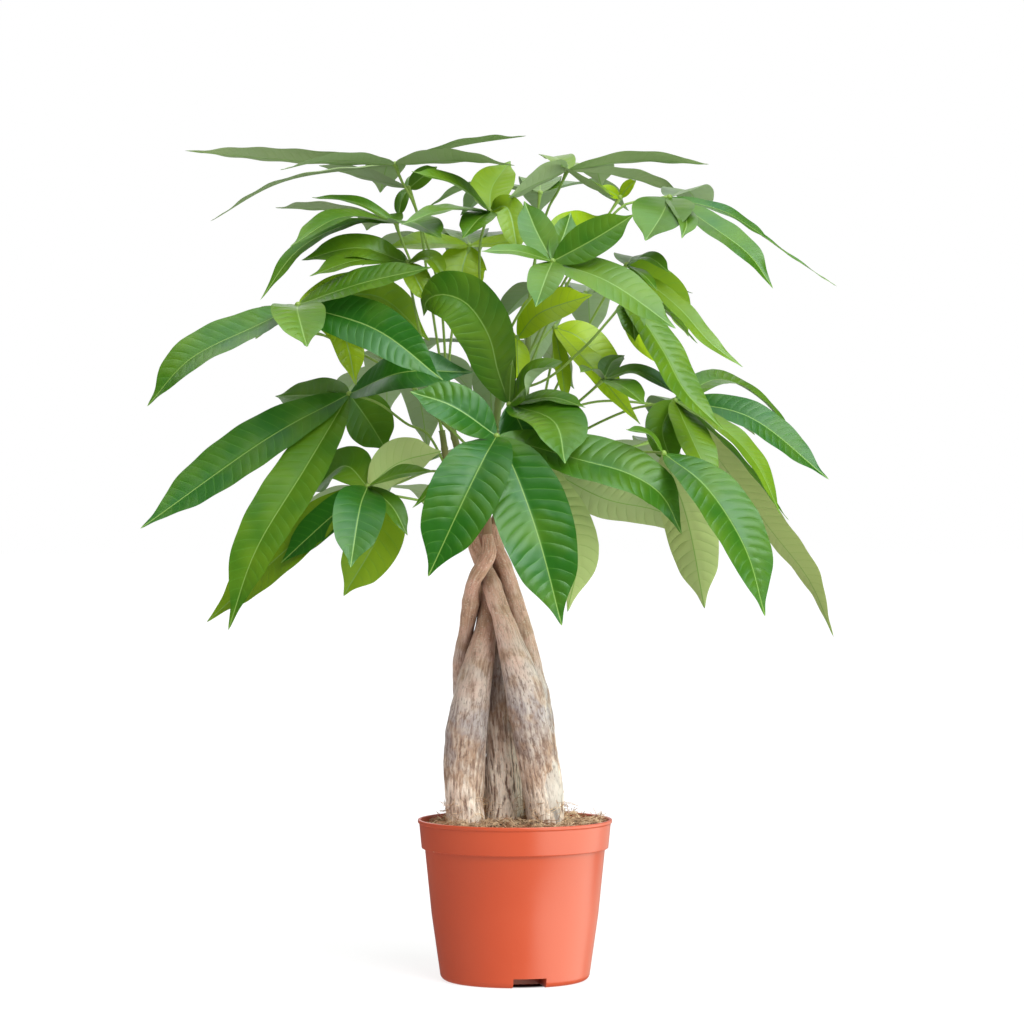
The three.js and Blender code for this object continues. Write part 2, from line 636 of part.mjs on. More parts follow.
      { rib: [[152, 54, 690], [165, 112, 668]], width: 40, face: [0, 0, 1] },
    ],
  },
  leaf_young: {
    root: ["shoot_middle", 0.8],
    stalk: [[92, 16, 684], [84, 16, 672], [66, 18, 644], [34, 36, 585]],
    leaflets: [
      { rib: [[99, 10, 693], [106, 4, 699]], width: 13, face: [-0.3, -1, 0.4] },
      { rib: [[82, 8, 690], [73, 2, 690]], width: 12, face: [0, -1, 0.5] },
    ],
  },
  leaf_right_slender: {
    root: ["shoot_back_right", 0.88],
    stalk: [[98, -20, 625], [84, -14, 606], [50, 4, 545]],
    leaflets: [
      { rib: [[116, -34, 632], [136, -46, 618]], width: 20, face: [0, -0.5, 1] },
      { rib: [[113, -48, 616], [125, -64, 602]], width: 14, face: [0.5, -0.8, 0.5] },
      { rib: [[132, 2, 604], [152, 14, 562]], width: 40, face: [0.3, -0.7, 0.7] },
      { rib: [[143, -44, 588], [170, -60, 558], [200, -66, 535]], width: 20, face: [0.4, -1, 0.6] },
      { rib: [[104, 20, 632], [112, 66, 612]], width: 34, face: [0, 0, 1] },
    ],
  },
  leaf_right_glossy: {
    root: ["shoot_back_left", 0.72],
    stalk: [[95, -60, 592], [80, -70, 574], [60, -72, 552], [26, -56, 524]],
    leaflets: [
      { rib: [[109, -84, 581], [130, -98, 549], [150, -108, 513], [183, -116, 480]], width: 38,
        face: [0.5, -0.8, 0.6] },
      { rib: [[108, -52, 566], [134, -44, 536]], width: 38, face: [0.2, -0.7, 0.7] },
      { rib: [[126, -34, 588], [160, -18, 556]], width: 30, face: [0.3, -0.4, 1] },
      { rib: [[102, -84, 580], [105, -100, 558]], width: 24, face: [0, -0.8, 0.8] },
    ],
  },
  leaf_right: {
    root: ["shoot_back_right", 0.6],
    stalk: [[140, -20, 506], [118, -20, 502], [100, -18, 498], [72, -12, 486], [35, 2, 466]],
    leaflets: [
      { rib: [[178, 12, 525], [215, 28, 508], [250, 36, 468]], width: 32, face: [0.4, -0.3, 1] },
      { rib: [[207, -36, 491], [275, -52, 437]], width: 34, face: [0.3, -1, 0.8] },
      { rib: [[182, -58, 482], [212, -74, 450], [233, -80, 405]], width: 28,
        face: [0.5, -0.6, 0.8] },
      { rib: [[168, 12, 470], [222, 30, 396], [258, 38, 349], [279, 42, 299]], width: 44,
        face: [0.7, 0.5, 0.4] },
      { rib: [[190, -14, 462], [240, -22, 401]], width: 18, face: [0.6, -0.3, 0.8] },
      { rib: [[158, -78, 466], [178, -96, 424]], width: 38, face: [0.5, -0.9, 0.4] },
      { rib: [[129, -42, 480], [140, -52, 446]], width: 34, face: [0.3, -1, 0.3] },
    ],
  },
  leaf_low_right: {
    root: ["shoot_back_right", 0.4],
    stalk: [[130, -118, 460], [114, -90, 461], [70, -60, 457], [30, -24, 444]],
    leaflets: [
      { rib: [[168, -148, 430], [202, -166, 376], [219, -170, 317]], width: 52,
        face: [0.5, -0.9, 0.4] },
      { rib: [[151, -94, 402], [166, -84, 324]], width: 46, face: [0.2, 0.9, 0.5] },
      { rib: [[117, -128, 477], [97, -138, 481]], width: 16, face: [0, -0.6, 1] },
      { rib: [[138, -98, 447], [144, -82, 430]], width: 22, face: [0.5, 0.2, 0.8] },
    ],
  },
  leaf_back_upper_left: {
    root: ["shoot_front_left", 0.9],
    stalk: [[-40, 106, 642], [-44, 98, 620], [-56, 74, 560]],
    leaflets: [
      { rib: [[-44, 188, 652], [-46, 262, 614]], width: 44, face: [0, 0.2, 1] },
      { rib: [[-92, 158, 650], [-134, 196, 624]], width: 40, face: [-0.2, 0.1, 1] },
      { rib: [[6, 156, 652], [44, 196, 634]], width: 40, face: [0.1, 0.1, 1] },
      { rib: [[-76, 88, 644], [-112, 78, 640]], width: 34, face: [0, -0.6, 0.9] },
      { rib: [[-10, 90, 645], [12, 84, 650]], width: 26, face: [0, -0.6, 0.9] },
      { rib: [[-46, 92, 616], [-32, 84, 594]], width: 44, face: [0.1, -1, 0.2] },
    ],
  },
  leaf_back_upper_right: {
    root: ["shoot_middle", 0.9],
    stalk: [[62, 128, 600], [52, 116, 592], [24, 80, 560]],
    leaflets: [
      { rib: [[64, 206, 604], [66, 276, 556]], width: 44, face: [0, 0.3, 1] },
      { rib: [[112, 172, 602], [150, 204, 572]], width: 40, face: [0.3, 0.1, 1] },
      { rib: [[16, 178, 603], [-14, 222, 575]], width: 40, face: [-0.1, 0.2, 1] },
      { rib: [[112, 112, 612], [156, 98, 600]], width: 34, face: [0.2, 0, 1] },
      { rib: [[30, 150, 578], [14, 168, 530]], width: 36, face: [-0.3, 0.5, 0.8] },
    ],
  },
  leaf_back_left: {
    root: ["shoot_front_left", 0.7],
    stalk: [[-110, 118, 540], [-100, 106, 530], [-72, 66, 495]],
    leaflets: [
      { rib: [[-112, 196, 542], [-112, 262, 492]], width: 44, face: [0, 0.3, 1] },
      { rib: [[-142, 164, 522], [-160, 196, 488]], width: 36, face: [-0.3, 0.2, 1] },
      { rib: [[-64, 168, 540], [-36, 208, 512]], width: 40, face: [0.1, 0.2, 1] },
      { rib: [[-132, 104, 548], [-146, 96, 534]], width: 24, face: [-0.1, 0, 1] },
      { rib: [[-86, 162, 515], [-76, 186, 462]], width: 36, face: [0.2, 0.6, 0.8] },
    ],
  },
  leaf_back_right: {
    root: ["shoot_back_right", 0.5],
    stalk: [[118, 108, 470], [104, 94, 466], [55, 45, 455]],
    leaflets: [
      { rib: [[124, 184, 468], [128, 248, 415]], width: 44, face: [0, 0.3, 1] },
      { rib: [[170, 150, 468], [206, 178, 436]], width: 38, face: [0.3, 0.1, 1] },
      { rib: [[88, 150, 460], [84, 178, 418]], width: 38, face: [-0.1, 0.3, 1] },
      { rib: [[158, 96, 484], [188, 92, 490]], width: 32, face: [0.1, 0, 1] },
      { rib: [[138, 146, 445], [150, 166, 396]], width: 36, face: [0.3, 0.5, 0.8] },
    ],
  },
  leaf_back_low: {
    root: ["shoot_middle", 0.35],
    stalk: [[0, 138, 450], [-2, 124, 447], [-4, 76, 440]],
    leaflets: [
      { rib: [[0, 212, 446], [0, 276, 394]], width: 44, face: [0, 0.3, 1] },
      { rib: [[-46, 188, 444], [-80, 224, 404]], width: 40, face: [-0.2, 0.3, 1] },
      { rib: [[46, 186, 444], [80, 218, 404]], width: 40, face: [0.2, 0.3, 1] },
      { rib: [[-44, 140, 462], [-80, 134, 452]], width: 34, face: [-0.1, 0, 1] },
      { rib: [[4, 166, 416], [6, 172, 366]], width: 36, face: [0, 1, 0.5] },
    ],
  },
  leaf_back_low_left: {
    root: ["shoot_front_right", 0.6],
    stalk: [[-112, 76, 432], [-102, 62, 434], [-76, 18, 444]],
    leaflets: [
      { rib: [[-128, 146, 424], [-136, 196, 376]], width: 42, face: [-0.1, 0.3, 1] },
      { rib: [[-160, 106, 424], [-194, 126, 384]], width: 38, face: [-0.3, 0.1, 1] },
      { rib: [[-78, 124, 424], [-58, 158, 392]], width: 36, face: [0.2, 0.3, 1] },
      { rib: [[-130, 96, 398], [-144, 108, 350]], width: 36, face: [-0.5, 0.4, 0.7] },
    ],
  },
  leaf_back_top: {
    root: ["shoot_middle", 0.75],
    stalk: [[22, 112, 688], [20, 108, 668], [16, 84, 600]],
    leaflets: [
      { rib: [[22, 172, 698], [20, 232, 668]], width: 40, face: [0, 0.1, 1] },
      { rib: [[-34, 126, 694], [-76, 140, 676]], width: 36, face: [-0.1, 0, 1] },
      { rib: [[-20, 158, 692], [-48, 196, 668]], width: 36, face: [-0.1, 0.1, 1] },
      { rib: [[66, 158, 696], [100, 190, 672]], width: 36, face: [0.1, 0.1, 1] },
    ],
  },
  leaf_back_middle: {
    root: ["shoot_middle", 0.6],
    stalk: [[-24, 168, 556], [-20, 150, 550], [-2, 88, 520]],
    leaflets: [
      { rib: [[-24, 240, 556], [-24, 296, 512]], width: 42, face: [0, 0.3, 1] },
      { rib: [[-72, 214, 556], [-104, 246, 526]], width: 36, face: [-0.2, 0.1, 1] },
      { rib: [[24, 212, 552], [52, 246, 516]], width: 38, face: [0.2, 0.2, 1] },
      { rib: [[-22, 206, 530], [-20, 220, 482]], width: 36, face: [0, 1, 0.6] },
    ],
  },
  leaf_back_far_left: {
    root: ["shoot_front_left", 0.8],
    stalk: [[-178, 72, 566], [-160, 70, 560], [-105, 62, 530]],
    leaflets: [
      { rib: [[-212, 108, 575], [-238, 150, 566]], width: 36, face: [-0.2, 0.1, 1] },
      { rib: [[-182, 130, 576], [-184, 184, 554]], width: 38, face: [0, 0.2, 1] },
      { rib: [[-206, 62, 580], [-236, 58, 574]], width: 28, face: [-0.2, 0, 1] },
    ],
  },
  leaf_back_far_right: {
    root: ["shoot_middle", 0.5],
    stalk: [[160, 78, 494], [140, 74, 500], [70, 62, 505]],
    leaflets: [
      { rib: [[186, 112, 500], [210, 148, 476]], width: 36, face: [0.2, 0.1, 1] },
      { rib: [[164, 150, 504], [168, 210, 466]], width: 40, face: [0, 0.2, 1] },
      { rib: [[178, 66, 484], [205, 70, 462]], width: 34, face: [0.4, -0.2, 0.9] },
      { rib: [[136, 126, 508], [118, 176, 490]], width: 36, face: [-0.1, 0.1, 1] },
    ],
  },
};

function makeLeaf({ root: [shoot, share], stalk, leaflets }) {
  const hub = stalk[0];
  const shootCurve = smoothCurve(SHOOTS[shoot].map(seen));
  const stalkCurve = smoothCurve([...stalk.map(seen), shootCurve.getPointAt(share)]);
  let leaf = solidOf(swept(stalkCurve, () => STALK_RADIUS, STALK_SIDES, stepsAlong(stalkCurve)));
  const knob = new THREE.OctahedronGeometry(HUB_RADIUS).translate(...seen(hub));
  leaf = leaf.add(solidOf(knob));
  for (const leaflet of leaflets) {
    leaf = leaf.add(solidOf(makeLeaflet(hub, leaflet)));
  }
  return leaf.subtract(solidOf(makeShoot(SHOOTS[shoot], GAP)));
}

// The whole plant.
const plastic = new THREE.MeshStandardMaterial({ color: 0xc95a37, roughness: 0.45 });
const pottingMix = new THREE.MeshStandardMaterial({ color: 0x5b4230, roughness: 1 });
const bark = new THREE.MeshStandardMaterial({ color: 0xa08468, roughness: 0.85 });
const greenBark = new THREE.MeshStandardMaterial({ color: 0x6f7f3c, roughness: 0.6 });
const foliage = new THREE.MeshStandardMaterial({ color: 0x4a7f22, roughness: 0.45 });

const group = new THREE.Group();

function addPiece(name, geometry, material) {
  const mesh = new THREE.Mesh(geometry, material);
  mesh.name = name;
  group.add(mesh);
}

addPiece("pot", geometryOf(makePot()), plastic);
addPiece("soil", geometryOf(makeSoil()), pottingMix);
for (const [name, rows] of Object.entries(STEMS)) {
  const socket = makeShoot(SHOOTS[name.replace("stem", "shoot")], GAP);
  addPiece(name, geometryOf(solidOf(makeStem(rows)).subtract(solidOf(socket))), bark);
}
for (const [name, points] of Object.entries(SHOOTS)) {
  addPiece(name, makeShoot(points, 0), greenBark);
}
for (const [name, leaf] of Object.entries(LEAVES)) {
  addPiece(name, geometryOf(makeLeaf(leaf)), foliage);
}

export default group;
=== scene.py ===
# %% [markdown]
# A braided money tree in a plastic pot.
#
# Five young trees were planted in one pot and braided while their stems were soft. Green shoots
# grew on from the braid, and each carries compound leaves: a long stalk, and five to seven
# leaflets that meet at its end. The plant was first built as plain solids at its real size. This
# script loads those solids as a frame, and grows the bark, the blades, the soil and the pot that
# are seen in their places. Blender works in metres, with +Z up and the plant's front at -Y.

# %% Load the frame
import math
from functools import partialmethod

import bmesh
import bpy
import numpy as np
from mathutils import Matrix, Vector, noise


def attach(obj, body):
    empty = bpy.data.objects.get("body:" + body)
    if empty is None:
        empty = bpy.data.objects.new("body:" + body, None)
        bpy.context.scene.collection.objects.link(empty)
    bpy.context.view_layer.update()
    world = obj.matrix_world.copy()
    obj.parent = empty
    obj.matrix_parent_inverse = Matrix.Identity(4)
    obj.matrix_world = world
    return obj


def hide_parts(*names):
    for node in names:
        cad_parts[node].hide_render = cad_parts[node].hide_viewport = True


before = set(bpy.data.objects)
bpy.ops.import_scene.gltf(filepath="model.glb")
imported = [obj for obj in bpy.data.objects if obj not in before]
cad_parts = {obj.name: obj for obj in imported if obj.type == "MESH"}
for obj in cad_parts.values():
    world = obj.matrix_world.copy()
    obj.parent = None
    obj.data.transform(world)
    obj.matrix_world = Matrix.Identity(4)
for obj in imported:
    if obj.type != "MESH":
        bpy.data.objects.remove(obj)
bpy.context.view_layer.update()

# %% [markdown]
# The camera comes first, because the picture decides where each leaf has to appear. The rim and
# the foot of the pot show how steeply the photograph looks down on them: the camera stood level
# with the middle of the plant, about three metres off, with a long lens.

# %% Camera
EYE = Vector((-0.0026, -3.0, 0.4086))
LENS_MM = 120.5
SENSOR_MM = 36.0


def shown(name, data):
    """A mesh, a lamp or a camera as an object in the scene."""
    thing = bpy.data.objects.new(name, data)
    bpy.context.scene.collection.objects.link(thing)
    return thing


camera = shown("camera", bpy.data.cameras.new("camera"))
camera.data.lens = LENS_MM
camera.data.sensor_width = SENSOR_MM
camera.location = EYE
camera.rotation_euler = (math.pi / 2, 0, 0)
bpy.context.scene.camera = camera
print("The camera stands", -EYE.y, "m in front, with a lens of", LENS_MM, "mm")

# %% [markdown]
# A leaf's place is easiest to give as it looks from the camera. So the lists below hold
# millimetres on the upright plane through the pot's middle, with the depth behind that plane in
# between, and `seen` turns such a place into a real point. Everything that grows follows a smooth
# line through a few such points, sampled at even steps.

# %% Places and smooth lines
MM = 0.001
FINE_STEPS = 24


def seen(place):
    x, depth, z = (value * MM for value in place)
    spread = 1 + depth / -EYE.y
    return (EYE.x + (x - EYE.x) * spread, depth, EYE.z + (z - EYE.z) * spread)


def smooth_line(points, count, carried=None):
    """count points at even steps along a smooth curve through points, and what they carry."""
    knots = np.array(points, float)
    padded = np.vstack([2 * knots[0] - knots[1], knots, 2 * knots[-1] - knots[-2]])
    shares = np.linspace(0, 1, FINE_STEPS, endpoint=False)[:, None]
    fine = []
    for a, b, c, d in zip(padded, padded[1:], padded[2:], padded[3:]):
        bend = (2 * a - 5 * b + 4 * c - d) * shares**2 + (3 * b - a - 3 * c + d) * shares**3
        fine.append(b + ((c - a) * shares + bend) / 2)
    fine = np.vstack([*fine, knots[-1:]])
    run = np.append(0, np.cumsum(np.linalg.norm(np.diff(fine, axis=0), axis=1)))
    even = np.linspace(0, run[-1], count)
    line = np.column_stack([np.interp(even, run, fine[:, axis]) for axis in range(3)])
    if carried is None:
        return line
    return line, np.interp(even, run[::FINE_STEPS], carried)

# %% [markdown]
# The stems, shoots and leaves are listed in those seen millimetres. A stem's places are
# x, depth, height and half its width, from the soil up to the knot where the braid is tightest.
# A shoot's places are x, depth and height.

# %% The woody stems and the green shoots
STEMS = {
    "stem_front_left": [
        (-43, -10, 62, 11), (-43, -10, 125, 13), (-43.3, -10, 139, 16.2), (-44.5, -10, 160, 16.5),
        (-44, -10, 190, 18.3), (-42.5, -9.5, 215, 18), (-38.5, -8, 240, 16.5), (-35.5, -6, 260, 15),
        (-31, -2, 280, 13.3), (-26.7, 1.5, 300, 10.1), (-24.1, 6, 320, 8.7), (-24.3, 10, 340, 7.5),
        (-25.5, 13, 362, 6.3), (-28, 16, 382, 5.6), (-29, 18, 400, 5.4),
    ],
    "stem_middle": [
        (-10, 14, 62, 11), (-11, 13, 125, 13), (-9, 12, 139, 16.8), (-9, 12.5, 160, 15.4),
        (-12, 13, 200, 14.6), (-13, 16, 240, 13.6), (-13, 19, 275, 12), (-14, 19, 300, 10.3),
        (-14, 21.5, 320, 8.8), (-14, 22.5, 340, 7.8), (-15.5, 24, 362, 7), (-15.5, 25, 384, 6.2),
        (-14.5, 26, 403, 5.8),
    ],
    "stem_front_right": [
        (25, -22, 62, 11), (26.5, -22, 125, 13), (26.5, -22, 138, 15.8), (25.5, -22, 160, 17.3),
        (21.5, -22, 185, 18), (16.5, -21.5, 212, 18), (11, -20, 240, 17.8), (6, -18.5, 260, 15.8),
        (0, -17, 280, 13.6), (-6, -15, 300, 10.8), (-12.5, -12.5, 320, 8.8), (-18.5, -9, 338, 8.2),
        (-25.5, -3, 358, 6.8), (-34.5, 1, 376, 5.9), (-38, 4, 392, 5),
    ],
    "stem_back_right": [
        (20, 29, 62, 11), (20, 29, 125, 13), (19.5, 29, 139, 14.6), (19.5, 28, 165, 14),
        (22.5, 24, 200, 13.4), (20, 20, 240, 12), (16, 16, 260, 11), (12, 10.5, 280, 10),
        (7.3, 9, 300, 9.6), (2, 8.5, 320, 9), (-3.5, 7.5, 340, 8.4), (-9.5, 4, 360, 7.4),
        (-17.5, 5, 380, 6.2), (-20, 6, 398, 5.2),
    ],
    "stem_back_left": [
        (-34, 37, 62, 11), (-34, 36, 125, 12.5), (-33.5, 35, 139, 13.8), (-34.5, 33, 165, 13.2),
        (-39, 30, 200, 12), (-43.5, 26, 240, 10.4), (-45.5, 22, 260, 8.8), (-46, 18, 280, 8.2),
        (-43.3, 10, 300, 7.2), (-40, 2, 320, 6.9), (-37.8, -5, 338, 6.6), (-35, -15, 350, 6.2),
        (-28, -20, 362, 6.6), (-22.5, -20, 374, 6.4), (-24, -15, 388, 5.2),
    ],
}

SHOOTS = {
    "shoot_front_left": [(-29, 18, 396), (-36, 28, 425), (-52, 44, 470), (-60, 52, 515)],
    "shoot_middle": [(-14.5, 26, 399), (-6, 40, 440), (8, 56, 500), (12, 62, 565)],
    "shoot_back_left": [(-24, -15, 384), (-24, -15, 420), (-16, -16, 490), (-9, -16, 562)],
    "shoot_back_right": [(-20, 6, 394), (-9, 8, 420), (12, 12, 455), (24, 14, 500)],
    "shoot_front_right": [(-38, 4, 388), (-46, 2, 412), (-58, -2, 445), (-64, -4, 480)],
}
print(len(STEMS), "stems and", len(SHOOTS), "shoots")

# %% [markdown]
# A leaf's first row is the shoot that bears it, and how far up the shoot it leaves. The second
# row is its stalk, from the hub, where the leaflets meet, down to the shoot. Each further row is
# a leaflet: the places of its midrib after the hub, its width, and the way that its upper side
# faces. Where one number more ends the row, it is that leaflet's own tone, from dark to fresh.

